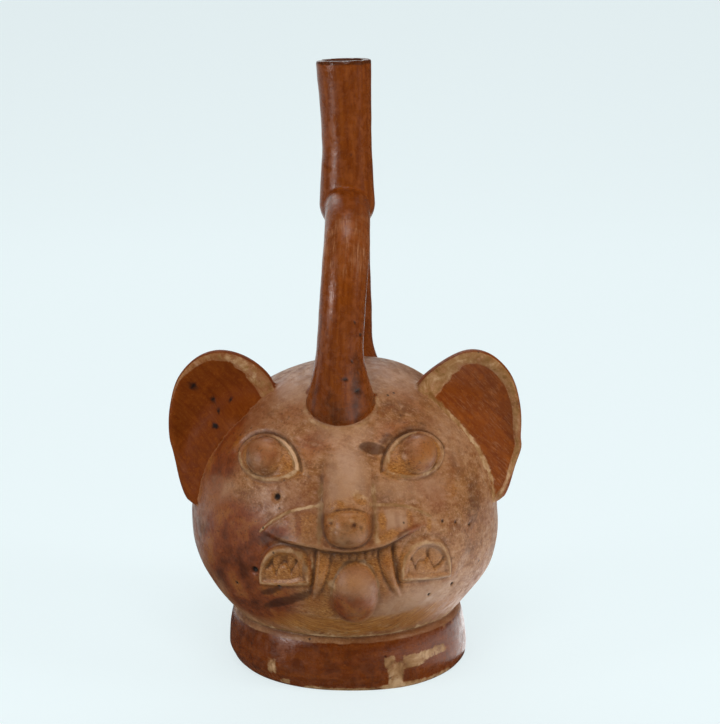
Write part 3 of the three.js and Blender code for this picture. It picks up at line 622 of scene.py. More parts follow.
def ear_object(side):
    outline = ear_outline(side, 120)
    half = EAR_HALF_THICKNESS
    dish = through([(0, 1), (0.5, 0.86), (0.75, 0.5), (0.9, 0)])
    section = [(share, -half + EAR_DISH * float(dish(share))) for share in np.linspace(0.08, 0.9, 15)]
    section += [(0.965 + 0.035 * math.sin(a), -half * 0.92 * math.cos(a)) for a in np.linspace(0.15, 2.9, 9)]
    section += [(0.9, half * 1.04), (0.8, half + 0.5), (0.5, half + 1.1), (0.1, half + 1.3)]
    rings = []
    for share, depth in section:
        ring = np.array([EAR_MIDDLE[0], 0, EAR_MIDDLE[1]]) * (1 - share) + outline * share
        from_head = np.hypot(ring[:, 0], ring[:, 2] - HEAD_MIDDLE[2]) - HEAD_RADIUS
        swell = EAR_SWELL * rise(13, -9, from_head) * (1 - 0.75 * rise(106, 120, ring[:, 2]))
        ring[:, 1] = depth - (swell if depth < 0 else 0)
        rings.append(ring)
    rings = np.array(rings)
    flat = rings.reshape(-1, 3)
    flat[:, 1] += 0.3 * wobble(flat * [1, 0, 1], 22, 11 + side)
    c, s = math.cos(EAR_TURN), math.sin(EAR_TURN)
    offset = flat - [EAR_MIDDLE[0], 0, 0]
    flat[:, 0] = EAR_MIDDLE[0] + c * offset[:, 0] - s * offset[:, 1]
    flat[:, 1] = EAR_DEPTH + s * offset[:, 0] + c * offset[:, 1]
    flat[:, 0] *= side
    return skin("ear", rings)


def arch_object():
    rings = arch_tube(ARCH_RADIUS, True, 72, WALL - 2, 210)
    middles = rings.mean(axis=1, keepdims=True)
    flat = rings.reshape(-1, 3)
    uneven = (0.16 * wobble(flat, 34, 21) + 0.07 * wobble(flat, 11, 22)).reshape(rings.shape[:2])
    swell = 1 + uneven / ARCH_RADIUS
    return skin("stirrup", middles + (rings - middles) * swell[..., None])


def spout_object():
    rows = [(0.5, SPOUT_FOOT - SPOUT_FOOT_RADIUS)]
    rows += [(SPOUT_FOOT_RADIUS * math.sin(a), SPOUT_FOOT - SPOUT_FOOT_RADIUS * math.cos(a))
             for a in np.linspace(0.15, 1.5, 14)]
    rows += [(float(spout_radius(z)), z) for z in np.linspace(SPOUT_FOOT, VESSEL_HEIGHT - 1, 60)]
    rows += [(SPOUT_MOUTH_RADIUS - 0.12, VESSEL_HEIGHT - 0.45), (SPOUT_MOUTH_RADIUS - 0.9, VESSEL_HEIGHT)]
    rows += [(SPOUT_MOUTH_RADIUS - 1.6, VESSEL_HEIGHT), (SPOUT_MOUTH_RADIUS - 2.6, VESSEL_HEIGHT)]
    rings = turned(rows, 84)
    flat = rings.reshape(-1, 3)
    chips = np.maximum(0, wobble(flat * [1, 1, 0.3], 5, 31) - 0.35)
    chips *= rise(VESSEL_HEIGHT - 1.6, VESSEL_HEIGHT, flat[:, 2])
    swell = 0.12 * wobble(flat, 20, 32) + 0.05 * wobble(flat, 8, 33)
    around = np.maximum(np.hypot(flat[:, 0], flat[:, 1]), 1e-6)
    flat[:, :2] *= (1 + (swell - 0.5 * chips) / around)[:, None]
    near_lip = rise(0.7, 1, (flat[:, 2] - SPOUT_FOOT) / SPOUT_RUN)
    flat[:, 2] += LIP_TILT * (flat[:, 0] - SPOUT_MOUTH_RADIUS) * near_lip
    flat[:, 2] -= 0.6 * chips
    flat[:, 0] += spout_middle(flat[:, 2])
    return skin("spout", rings)


def spout_bore_object():
    above = VESSEL_HEIGHT + 5
    rows = [(SPOUT_FOOT_RADIUS - SPOUT_WALL - 1.5, ARCH_TOP)]
    heights = np.linspace(SPOUT_FOOT, VESSEL_HEIGHT - 0.8, 14)
    rows += [(float(spout_radius(z)) - SPOUT_WALL, z) for z in heights]
    mouth = SPOUT_MOUTH_RADIUS - SPOUT_WALL + 0.5
    rows += [(mouth, VESSEL_HEIGHT), (mouth, above)]
    rings = turned(rows, 48)
    rings[..., 0] += spout_middle(rings[..., 2])
    return skin("spout bore", rings)


def recess_object():
    inside = FOOT_RADIUS - FOOT_WALL
    rows = [(inside + 0.6, -2), (inside, RECESS_HEIGHT - 1.5), (inside - 2, RECESS_HEIGHT)]
    return skin("recess", turned(rows, 96))


def cavity_object():
    radius = HEAD_RADIUS - WALL
    in_foot = FOOT_RADIUS - FOOT_NECK - WALL
    join = math.asin((FOOT_HEIGHT + 3 - HEAD_MIDDLE[2]) / radius)
    rows = [(in_foot - 6, FLOOR_HEIGHT), (in_foot - 1.8, FLOOR_HEIGHT + 3.6)]
    rows += [(in_foot, (FLOOR_HEIGHT + FOOT_HEIGHT) / 2 + 3.6)]
    rows += [(radius * math.cos(a), HEAD_MIDDLE[2] + radius * math.sin(a))
             for a in np.linspace(join, math.pi / 2 - 0.02, 26)]
    return skin("cavity", turned(rows, 64))


def combine(base, others, operation):
    for other in others:
        step = base.modifiers.new(other.name, "BOOLEAN")
        step.operation = operation
        step.object = other
        step.solver = "MANIFOLD"
    bpy.context.view_layer.update()
    whole = base.evaluated_get(bpy.context.evaluated_depsgraph_get())
    mesh = bpy.data.meshes.new_from_object(whole)
    base.modifiers.clear()
    base.data = mesh
    for other in others:
        bpy.data.objects.remove(other)
    return base


def near_seams(points):
    """Where two forms of clay meet outside: the places to soften."""
    _, _, distance = face_place(points)
    off_head = np.abs(distance - HEAD_RADIUS)
    gap, _, _ = arch_place(points)
    axis = np.hypot(points[:, 0] - ARCH_OFFSET, points[:, 1])
    root = (off_head < 3.5) & (np.abs(gap) < 3) & (points[:, 2] > 100)
    ring = (points[:, 2] > 19.5) & (points[:, 2] < 24) & (axis > 44)
    by_ear = (np.abs(points[:, 0]) > 24) & (np.abs(points[:, 1] + 12) < 16) & (points[:, 2] > 66)
    ear = by_ear & (off_head < 3)
    top = (points[:, 2] > 181) & (points[:, 2] < 208) & (axis < 16) & (axis > 8.2) & (np.abs(gap) < 2.5)
    return root | ring | ear | top


def soften(thing):
    work = bmesh.new()
    work.from_mesh(thing.data)
    work.verts.ensure_lookup_table()
    points = np.array([v.co for v in work.verts])
    seam = near_seams(points)
    sharp = set()
    for edge in work.edges:
        if len(edge.link_faces) == 2 and edge.calc_face_angle(0) > 0.3:
            a, b = edge.verts
            if seam[a.index] and seam[b.index]:
                sharp.update((a, b))
    for _ in range(2):
        sharp.update([e.other_vert(v) for v in list(sharp) for e in v.link_edges])
    chosen = [v for v in sharp if seam[v.index]]
    for _ in range(4):
        bmesh.ops.smooth_vert(
            work, verts=chosen, factor=0.5, use_axis_x=True, use_axis_y=True, use_axis_z=True)
    work.to_mesh(thing.data)
    work.free()


def vessel_object():
    body = head_object()
    forms = [foot_object(), ear_object(1), ear_object(-1), arch_object(), spout_object()]
    body = combine(body, forms, "UNION")
    bore_radius = ARCH_RADIUS - ARCH_WALL
    bore = skin("bore", arch_tube(bore_radius, False, 28, WALL + 4, 90))
    hollow = combine(cavity_object(), [bore, spout_bore_object()], "UNION")
    ground = skin("ground", turned([(90, -40), (90, 0)], 12))
    body = combine(body, [hollow, recess_object(), ground], "DIFFERENCE")
    soften(body)
    return body


# Painted and worn places of the head's slip: middle in s and t, half sizes, turn in degrees and strength.
# Dark places: stains, and, at s -9.3 and 10.9, painted shade along the sides of the nose.
STAINS_AND_SHADE = [
    (11.6, 43.6, 6.2, 2.9, -10, 0.85), (18, 47.2, 5, 3, 35, 0.5), (27, 51, 9, 3.0, 22, 0.45),
    (36, 53.6, 4, 2.6, 20, 0.4), (-32.4, 6.2, 4.2, 3.6, 20, 0.6), (-23.1, 8.0, 3.4, 1.8, -15, 0.55),
    (-28.2, 9.5, 8, 2.6, 12, 0.4), (24, 56, 9, 4, 25, 0.3), (-52, 30, 4, 8, 20, 0.25),
    (52, 28, 3, 9, -15, 0.3), (-38, 62, 8, 3, 30, 0.25), (21.3, 8.6, 4, 1.5, 24, 0.65),
    (27.3, 11.6, 2.5, 1.6, 20, 0.4), (-24.5, -20.3, 16, 2.4, 30, 0.75), (-30, -16.2, 9, 1.6, 30, 0.6),
    (61, 14, 7, 15, 0, 0.45), (56, -6, 14, 16, 0, 0.32), (1, 6.2, 7, 2.6, 0, 0.4),
    (1.2, 47.4, 2.6, 2.3, 0, 0.35), (-9.3, 31.2, 1.3, 2.6, 10, 0.5), (3, -24, 6, 4, 0, 0.3),
    (-9.3, 12, 1.6, 9, 0, 0.45), (10.9, 12, 1.4, 8, 0, 0.35), (-14.8, -3, 1.4, 7, -4, 0.5),
    (-6.6, -8, 0.9, 7, -6, 0.3), (1.1, 10.6, 9, 6.5, 0, 0.46), (4.6, -22, 9, 6, 0, 0.33),
    (20.6, -3.6, 1.2, 7, 10, 0.5), (14.6, -8, 0.8, 6, 10, 0.35), (-26, 7.6, 10, 2.2, 12, 0.45),
    (-41, 6, 8, 4, 10, 0.3),
]
OCHRES = [
    (0, -33, 46, 6.5, 0, 0.95), (38, -33, 16, 6, 12, 0.8), (-2.8, 20.4, 3.2, 2.6, 20, 0.8),
    (5.6, 22.8, 3, 2.2, -25, 0.8), (14.2, 14.6, 2, 5, 0, 0.7), (25.4, 13.8, 2, 5, 0, 0.7),
    (34.2, 10.8, 1.6, 4, 0, 0.6), (-15.4, 14.6, 6, 4, 10, 0.6), (52, 28, 12, 13, 0, 0.36),
    (-25, -4, 10, 10, 0, 0.85), (-9, -20, 7, 9, 20, 0.85), (34, -4, 11, 9, 0, 0.6),
    (-24, 33.6, 8, 3.6, 0, 0.75), (24, 34, 10, 4.0, 0, 0.8), (-22, 37, 4.5, 4, 0, 0.7),
    (4, -3, 9, 6, 0, 0.75), (1, 13, 9, 7.5, 0, 0.85), (-17, 10, 8, 5, 10, 0.6), (16, 8.5, 6, 3, 20, 0.8),
    (14.5, -8, 4, 9, 10, 0.7), (-10, -6, 4, 9, -12, 0.7), (3.6, -16, 7, 8, 0, 0.6),
    (20, -30, 26, 3.2, 8, 0.5), (-43, 30, 7, 5, 0, 0.35), (-60, 42, 10, 14, 0, 0.4), (14, 38, 4, 4, 0, 0.4),
    (-2, 62, 16, 7, 0, 0.25), (44, 60, 12, 12, -30, 0.3), (24, 62, 14, 6, 10, 0.25), (-8, 40, 9, 7, 0, 0.2),
    (2, -5, 30, 10, 0, 0.85), (1, 25, 8, 9, 0, 0.4),
]
BLUSHES = [
    (-49, -4, 23, 24, 20, 1.25), (-40, -25, 22, 12, 25, 1.1), (-72, 12, 10, 20, 0, 0.6),
    (-44, 17, 9, 8, 0, 0.5), (2.6, -19, 9, 8, 0, 0.95), (-11, -14, 4, 9, -10, 0.5),
    (17, -6, 3, 8, 12, 0.45), (-44, 60, 9, 14, -30, 0.3), (-90, 0, 20, 40, 0, 0.5),
    (24, 9.5, 8, 2, 20, 0.75), (-29, 8.5, 9, 3.6, 15, 0.95), (22, 52, 12, 5, 20, 0.45),
    (-14, 46, 9, 7, 0, 0.55), (-22, 62, 16, 8, 20, 0.45), (34, 66, 12, 8, -20, 0.35),
    (-52, 44, 6, 12, 10, 0.55), (50, 34, 5, 9, -20, 0.4), (42, -12, 8, 5, 0, 0.3), (-8, 34, 5, 7, 0, 0.3),
    (8, 60, 8, 5, 0, 0.3), (60, 0, 6, 16, 0, 0.35), (0.5, 15, 7, 4, 0, 0.45), (13, 30, 3, 12, 0, 0.25),
    (-24, 7, 10, 3, 10, 0.6), (-14, -5, 2, 9, -10, 0.6), (-17.5, 12, 1.8, 7, 8, 0.6),
    (-22.5, 11.5, 1.7, 6, 10, 0.6), (-27, 10.5, 1.6, 5, 12, 0.55), (20, 14, 1.6, 5, 0, 0.5),
    (26.5, 13, 1.6, 4, 0, 0.5), (32, 12, 1.4, 3, 0, 0.45), (1, 9, 8, 4, 0, 0.6), (-6.5, 13, 2, 6, 0, 0.5),
    (8.6, 13, 2, 6, 0, 0.5),
]
# Pale grey: the slip's own tone, and on the lower right cheek a painted sheen.
GREYS_AND_SHEEN = [
    (50, -16, 20, 10, 20, 0.15), (30, -22, 20, 7, 10, 0.7), (34, -5, 9, 8, 0, 0.5),
    (-20, 76, 18, 12, 0, 0.5), (-60, 18, 9, 13, 0, 0.6), (18, -28, 16, 2.6, 10, 0.6),
    (1, 32, 7, 13, 0, 0.8), (0, 50, 12, 7, 0, 0.5), (19, 15, 7, 4, 0, 0.8), (20, 26, 14, 5, 0, 0.4),
    (36, 28, 10, 5, 0, 0.3), (4.6, -8.5, 7, 6, 0, 0.35), (52, 50, 12, 14, 0, 0.3),
    (-62, -18, 10, 20, 0, 0.25), (28, 84, 20, 14, 0, 0.42),
]


def patches(places, s, t):
    total = np.zeros_like(s)
    for place_s, place_t, half_s, half_t, turn, strength in places:
        c, n = math.cos(math.radians(turn)), math.sin(math.radians(turn))
        along = ((s - place_s) * c + (t - place_t) * n) / half_s
        across = ((t - place_t) * c - (s - place_s) * n) / half_t
        total = np.maximum(total, strength * np.exp(-(along ** 2 + across ** 2) ** 1.5 * 0.7))
    return total


def cream_lines(s, t):
    """Pale slip that is left along the edges of the modelling, and painted highlights by the nostrils."""
    parts = []
    for eye, low, high, inner_share in zip(EYES, (0.75, 0.6), (0.45, 0.45), (0.6, 0.15)):
        outside, upper = outside_eye(eye, s, t)
        inwards = np.sign(eye["ball"][0]) * (eye["ball"][0] - s)
        strength = np.where(upper, high + inner_share * rise(0, 9, inwards), low)
        parts.append(strength * bell(outside + 0.5, 1.0 + 0.6 * upper * rise(2, 12, inwards)))
    pad = bell(muzzle_line(s) - t, 0.8) * rise(-37, -33, s) * rise(38, 34, s)
    parts.append(0.84 * pad * rise(7.5, 9.5, np.abs(s - 0.5)))
    for side in (-1, 1):
        edge = bell(side * (s - NOSE_MIDDLE) - NOSE_HALF_WIDTH - 0.6, 1.5)
        parts.append(0.62 * edge * rise(4, 8, t) * rise(33, 27, t))
    # Painted highlights beside the nostril pits.
    for place_s in (-5.2, 2.4):
        parts.append(0.6 * bell(np.hypot(s - place_s, (t - 15.8) * 1.6), 1.5))
    for panel in PANELS:
        parts.append(0.62 * bell(inside_panel(panel, s, t) - 1.0, 0.8))
    over, beside = t - 24.5, s - 5.5
    parts += [
        0.6 * bell((chin_out(s, t) - 1.02) * 12, 1.0) * rise(-22, -12, t),
        0.9 * bell(s + 12.4 + 0.15 * t, 0.7) * bell(t + 2, 3.5),
        0.8 * bell(np.hypot(s + 4.6, (t + 9.6) * 0.7), 1.9),
        0.5 * bell(s - 19.2 + 0.2 * t, 0.8) * bell(t + 4, 7),
        0.42 * bell(beside / 1.9 + 0.4 * over, 2.4) * bell(over + 0.25 * beside, 2.2),
    ]
    return np.maximum.reduce(parts)


def grooves(s, t, reach):
    """How far each place lies below the mean of its neighbourhood."""
    here = relief(s, t)
    around = 0
    for k in range(8):
        turn = math.pi * k / 4
        around = around + relief(s + reach * math.cos(turn), t + reach * math.sin(turn))
    return around / 8 - here


# Dark spots on the left ear and on the front leg: x, height and radius.
EAR_SPOTS = [
    (-62, 118.7, 1.8), (-53.8, 112.7, 1.2), (-53, 103, 1.3), (-51.8, 108.9, 0.7), (-46.5, 113.4, 0.6),
]
LEG_SPOTS = [
    (0.4, 129.6, 1.1), (5.2, 124.4, 1.2), (3.4, 137, 0.5), (5.8, 131, 0.6), (6.6, 147, 0.6), (4.6, 152, 0.5),
]
# What is left of the foot ring's pale steps: x, height, half width and half height.
FOOT_MARKS = [
    (19.5, 4.6, 3.2, 6.2), (24, 9.6, 7.6, 1.7), (31, 12.2, 8.5, 1.8), (17.4, 12.6, 2.2, 2.2),
    (21, 1.2, 7, 1.6), (33, 1.2, 9, 1.0), (2, 0.9, 9, 0.9), (-30.5, 8.4, 1.9, 3.2), (-25, 2.2, 2, 1.2),
    (-12, 1.2, 5, 0.9),
]


def foot_cream(at):
    """What is left of the pale painted step pattern on the foot ring, seen from in front."""
    total = np.zeros(len(at.z))
    for place_x, place_z, half_x, half_z in FOOT_MARKS:
        box = np.maximum(np.abs(at.x - place_x) / half_x, np.abs(at.z - place_z) / half_z)
        total = np.maximum(total, rise(1.35, 0.8, box))
    return total * (at.y < 0)


class Surface:
    """Where each point of the vessel lies: on which of its forms, and where on that form."""

    def __init__(self, points):
        self.x, self.y, self.z = points.T
        self.side = np.sign(self.x)
        self.out = np.abs(self.x)
        self.s, self.t, distance = face_place(points)
        direction = face_direction(np.stack([self.s, self.t], axis=1))
        swell = side_swell(direction, HEAD_MIDDLE[2] + direction[:, 2] * HEAD_RADIUS)
        self.above_head = distance - HEAD_RADIUS - relief(self.s, self.t) - swell
        # The face's painted places fade out over the sides, so that the back is plain and even.
        self.facing = rise(0.62, 0.1, direction[:, 1])
        self.gap, self.along, self.turn = arch_place(points)

        from_spout = np.hypot(self.x - spout_middle(self.z), self.y)
        self.on_spout = (self.z > 181) & (from_spout < 13.2)
        self.on_arch = (self.gap < 2.5) & (self.above_head > 0.6) & (self.z > 96) & ~self.on_spout
        self.on_foot = (self.z < FOOT_HEIGHT + 0.2) & (np.hypot(self.x, self.y) > 44)
        by_ear = (self.out > 25) & (self.z > 66) & (np.abs(self.y + 12) < 18)
        self.on_ear = by_ear & (self.above_head > 0.35) & ~self.on_arch
        self.on_head = ~(self.on_spout | self.on_arch | self.on_foot | self.on_ear)
        self.ear_front = self.on_ear & (self.y < EAR_DEPTH + 0.5 + 0.09 * (self.out - 50))


def ear_rim(at):
    """1 in the pale band along an ear's free edge, which is wider near the head."""
    angle = np.arctan2(at.z - EAR_MIDDLE[1], at.out - EAR_MIDDLE[0])
    to_edge = -np.hypot(at.z - EAR_MIDDLE[1], at.out - EAR_MIDDLE[0])
    for side in (1, -1):
        outline = ear_outline(side, 240)
        up, out = outline[:, 2] - EAR_MIDDLE[1], outline[:, 0] - EAR_MIDDLE[0]
        edge_turn = np.arctan2(up, out)
        order = np.argsort(edge_turn)
        reach = np.interp(angle, edge_turn[order], np.hypot(up, out)[order], period=2 * np.pi)
        to_edge = to_edge + reach * (at.side == side)
    towards_root = rise(1.3, 2.3, np.abs(angle)) * (angle > 0)
    top = rise(0.2, 1.3, angle) * rise(3.0, 2.2, angle)
    right_band = 3.6 + 1.4 * top + 4.0 * towards_root
    left_band = 0.7 + 2.2 * top + 4.4 * towards_root
    band = np.where(at.side > 0, right_band, left_band)
    return rise(band + 0.7, band - 0.7, to_edge) * rise(0.1, 0.9, to_edge) * at.ear_front


def red_slip(at, rim):
    """The burnished red slip of the tubes, the ears and the foot ring."""
    on_tube = np.clip(0.5 + (at.above_head - 0.5) / 1.6, 0, 1)
    red = np.where(at.on_spout | at.on_arch, np.maximum(on_tube, at.on_spout), 0.0)
    on_ear = np.clip(1 - rim, 0, 1) * np.clip(0.5 + (at.above_head - 0.2) / 1.0, 0, 1)
    red = np.where(at.on_ear, on_ear, red)
    return np.where(at.on_foot, np.clip(0.5 + (FOOT_HEIGHT - 2.2 - at.z) / 2.8, 0, 1), red)


def cream_slip(at, rim):
    """The pale slip of painted bands and of seams, and painted light low on the front of the head."""
    cream = np.where(at.on_head, cream_lines(at.s, at.t), 0.0)
    cream = np.where(at.on_ear, rim * np.where(at.side > 0, 0.56, 0.45), cream)
    worn_edge = 0.26 * rise(30, 42, at.x) * rise(15, 19, at.z) * (at.y < 10)
    cream = np.where(at.on_foot, np.maximum(0.64 * foot_cream(at), worn_edge), cream)
    collar = bell(at.gap - 1.0, 1.3) * at.on_head * (at.z > 96)
    seam = bell(at.above_head - 0.3, 1.3) * at.ear_front * (at.side > 0) * (at.z < 124)
    over_foot = at.on_head * (at.y < -20) * (np.hypot(at.x, at.y) < 53)
    crease = bell(at.z - FOOT_HEIGHT - 0.6, 0.9) * over_foot
    # Painted light low on the front of the head, above the foot ring.
    painted_light_low_front = at.on_head * (at.y < -10) * rise(34, 26, at.z) * rise(-40, -20, at.x)
    for share, place in ((0.5, collar), (0.85, seam), (0.75, crease), (0.36, painted_light_low_front)):
        cream = np.maximum(cream, share * place)
    return cream


def head_slips(at):
    """The ochre, the red-brown and the grey tones of the head's slip, the grey partly a painted sheen."""
    s, t = at.s, at.t
    ochre, blush, grey = (
        np.where(at.on_head, patches(table, s, t), 0.0) for table in (OCHRES, BLUSHES, GREYS_AND_SHEEN))
    temple = np.clip(0.5 + (-49.5 - s - 0.06 * (t - 45)) * (t > 8) / 14, 0, 1)
    temple = 0.95 * temple * rise(22, 34, t) * rise(74, 66, t) * (at.side < 0)
    cheek = 0.6 * rise(-50, -60, s + 0.12 * (30 - t)) * rise(-60, -20, t)
    blush = np.where(at.on_head, np.maximum(blush, np.maximum(cheek, temple)), blush)
    ochre, blush, grey = ochre * at.facing, blush * at.facing, grey * at.facing
    chin_top = rise(1.1, 0.85, chin_out(s, t)) * rise(-20, -11, t)
    ochre = ochre * (1 - 0.55 * chin_top)
    for panel in PANELS:
        blush = blush * (1 - 0.9 * at.on_head * rise(-0.3, 0.6, inside_panel(panel, s, t)))
    for eye in EYES:
        outside, _ = outside_eye(eye, s, t)
        in_eye = at.on_head * rise(-0.8, -2.0, outside)
        from_ball = np.hypot(s - eye["ball"][0], t - eye["ball"][1]) / EYEBALL_RADIUS
        blush = np.maximum(blush, 0.55 * in_eye * rise(1.08, 0.72, from_ball))
        ochre = np.maximum(ochre, 0.6 * in_eye * rise(0.8, 1.1, from_ball))
    return ochre, blush, grey


def dark_stains_and_shade(at):
    """Dark places on the face, with painted shade beside the nose, at the spout's lip and low on the front
    leg.
    """
    # Painted shade along both sides of the nose's tip.
    nose_side_shade = bell(np.abs(at.s - NOSE_MIDDLE) - 8.4, 1.6) * rise(4, 7, at.t) * rise(20, 15, at.t)
    face = np.maximum(patches(STAINS_AND_SHADE, at.s, at.t), 0.42 * nose_side_shade)
    stain_and_shade = at.on_head * face * at.facing
    lip = at.on_spout * rise(VESSEL_HEIGHT - 2.6, VESSEL_HEIGHT - 1.2, at.z)
    front_leg = at.on_arch * (at.y < -12)
    leg_right = bell(at.x - 5, 3.2) * rise(150, 128, at.z)
    leg = front_leg * np.maximum(0.6 * leg_right, 0.42 * rise(140, 114, at.z))
    return np.maximum(stain_and_shade, np.maximum(0.8 * lip, leg))


def dark_pits(at):
    """The hollows that are filled with dirt, which are darkest away from the nose, and dark spots."""
    pits = np.zeros(len(at.z))
    for number, (place_s, place_t, radius) in enumerate(PITS):
        dark = 1.0 if number < NOSE_PITS_FROM else 0.35
        near = np.hypot(at.s - place_s, at.t - place_t)
        pits = np.maximum(pits, dark * at.on_head * rise(radius * 1.15, radius * 0.6, near))
    for spots, zone in ((EAR_SPOTS, at.ear_front), (LEG_SPOTS, at.on_arch & (at.y < -30))):
        for x, height, radius in spots:
            near = np.hypot(at.x - x, at.z - height)
            pits = np.maximum(pits, zone * rise(radius * 1.2, radius * 0.6, near))
    return pits


def grooves_dirt_and_shade(at):
    """Above 0 where dirt and painted shade darken grooves and seams, and below 0 on edges worn bare and
    painted lighter as a highlight.
    """
    s, t = at.s, at.t
    groove = np.where(at.on_head, np.clip(grooves(s, t, 1.5) / 0.8, -1, 1), 0.0)
    from_axis = np.hypot(at.x - ARCH_OFFSET, at.y)
    # Dirt and painted shade along the seams at the foot ring and at the stirrup's roots.
    seam_dirt_and_shade = bell(at.z - FOOT_HEIGHT, 0.8) * (from_axis > 40)
    seam_dirt_and_shade = seam_dirt_and_shade + bell(at.above_head - 0.2, 0.7) * at.on_arch
    for eye in EYES:
        outside, upper = outside_eye(eye, s, t)
        # A dark line in the groove above each eye: painted shadow.
        seam_dirt_and_shade = seam_dirt_and_shade + 0.9 * upper * at.on_head * bell(outside - 0.9, 0.7)
        groove = groove * (1 - 0.6 * at.on_head * rise(-0.8, -2.0, outside))
    bridge = bell(np.abs(s - NOSE_MIDDLE) - 9, 3) * rise(15, 20, t) * rise(44, 36, t)
    groove = groove * (1 - 0.8 * at.on_head * bridge)
    below_chin = bell(chin_out(s, t) - 1, 0.25) * rise(-4, -14, t)
    groove = groove * (1 - 0.5 * at.on_head * below_chin)
    return np.clip(groove + 0.55 * seam_dirt_and_shade, -1, 1)


def slip_grain(at, under):
    """Places for the streaks' noise, drawn together along the streaks of each form."""
    level = at.z - HEAD_MIDDLE[2]
    lean_c, lean_s = math.cos(EAR_STREAK_LEAN), math.sin(EAR_STREAK_LEAN)
    around_spout = np.arctan2(at.y, at.x - spout_middle(at.z))
    zones = [
        (at.on_arch, (at.turn * 9, at.along * 0.07, 0)),
        (at.on_spout, (around_spout * 10 + 60, at.z * 0.08, 0)),
        (at.on_foot, (np.arctan2(at.y, at.x) * 8, at.z, 30)),
        (at.on_ear, (at.x * lean_c + at.z * lean_s, (at.z * lean_c - at.x * lean_s) * 0.13, at.side * 20)),
        (at.on_head, (0.45 * at.x - 0.2 * level, level + 0.3 * at.x, 90 + 0.45 * at.y)),
        (under, (at.s * 0.06, 0.7 * at.t - 0.009 * at.s * at.s, 60)),
    ]
    grain = np.zeros((len(at.z), 3))
    for zone, parts in zones:
        for axis, part in enumerate(parts):
            grain[:, axis] = np.where(zone, part, grain[:, axis])
    return grain


def paint(thing):
    """Stores the painted and worn zones, and the painted light and shade, at every point, for the clay's
    colours.
    """
    flat = np.empty(len(thing.data.vertices) * 3, dtype=np.float32)
    thing.data.vertices.foreach_get("co", flat)
    at = Surface(flat.reshape(-1, 3).astype(float))
    rim = ear_rim(at)
    ochre, blush, grey = head_slips(at)
    under = at.on_head & (at.t < -26) & (at.y < 0)
    worn = 0.5 * at.ear_front * (at.side > 0)
    worn = worn + 1.5 * at.on_arch * (at.y < -12) * rise(164, 176, at.z) * rise(194, 186, at.z)
    worn = worn + 0.3 * at.on_arch * (at.y < -30) * rise(128, 116, at.z)
    fields = {
        "red": red_slip(at, rim), "cream": cream_slip(at, rim), "stain_and_shade": dark_stains_and_shade(at),
        # groove: dirt and painted shade in grooves, and a painted highlight on worn ridges.
        "pits": dark_pits(at), "ochre": ochre, "blush": blush, "grey": grey, "groove": grooves_dirt_and_shade(at),
        # hollow: painted shade in broad hollows and painted light on domes.
        "hollow": np.where(at.on_head, np.clip(grooves(at.s, at.t, 4.5) / 2.2, -1, 1), 0.0),
        "worn": worn, "foot": at.on_foot, "ear": at.on_ear * (1.0 + (at.side < 0)) / 2,
        "brushed": at.on_spout | at.on_arch | at.on_foot | at.on_ear | under,
    }
    for name, values in fields.items():
        layer = thing.data.attributes.new(name, "FLOAT", "POINT")
        layer.data.foreach_set("value", np.ascontiguousarray(values, dtype=np.float32))
    layer = thing.data.attributes.new("grain", "FLOAT_VECTOR", "POINT")
    layer.data.foreach_set("vector", np.ascontiguousarray(slip_grain(at, under), dtype=np.float32).ravel())


def linear(code):
    """A linear colour from a six-digit code."""
    parts = [int(code[i:i + 2], 16) / 255 for i in (0, 2, 4)]
    return tuple(p / 12.92 if p <= 0.04045 else ((p + 0.055) / 1.055) ** 2.4 for p in parts) + (1.0,)


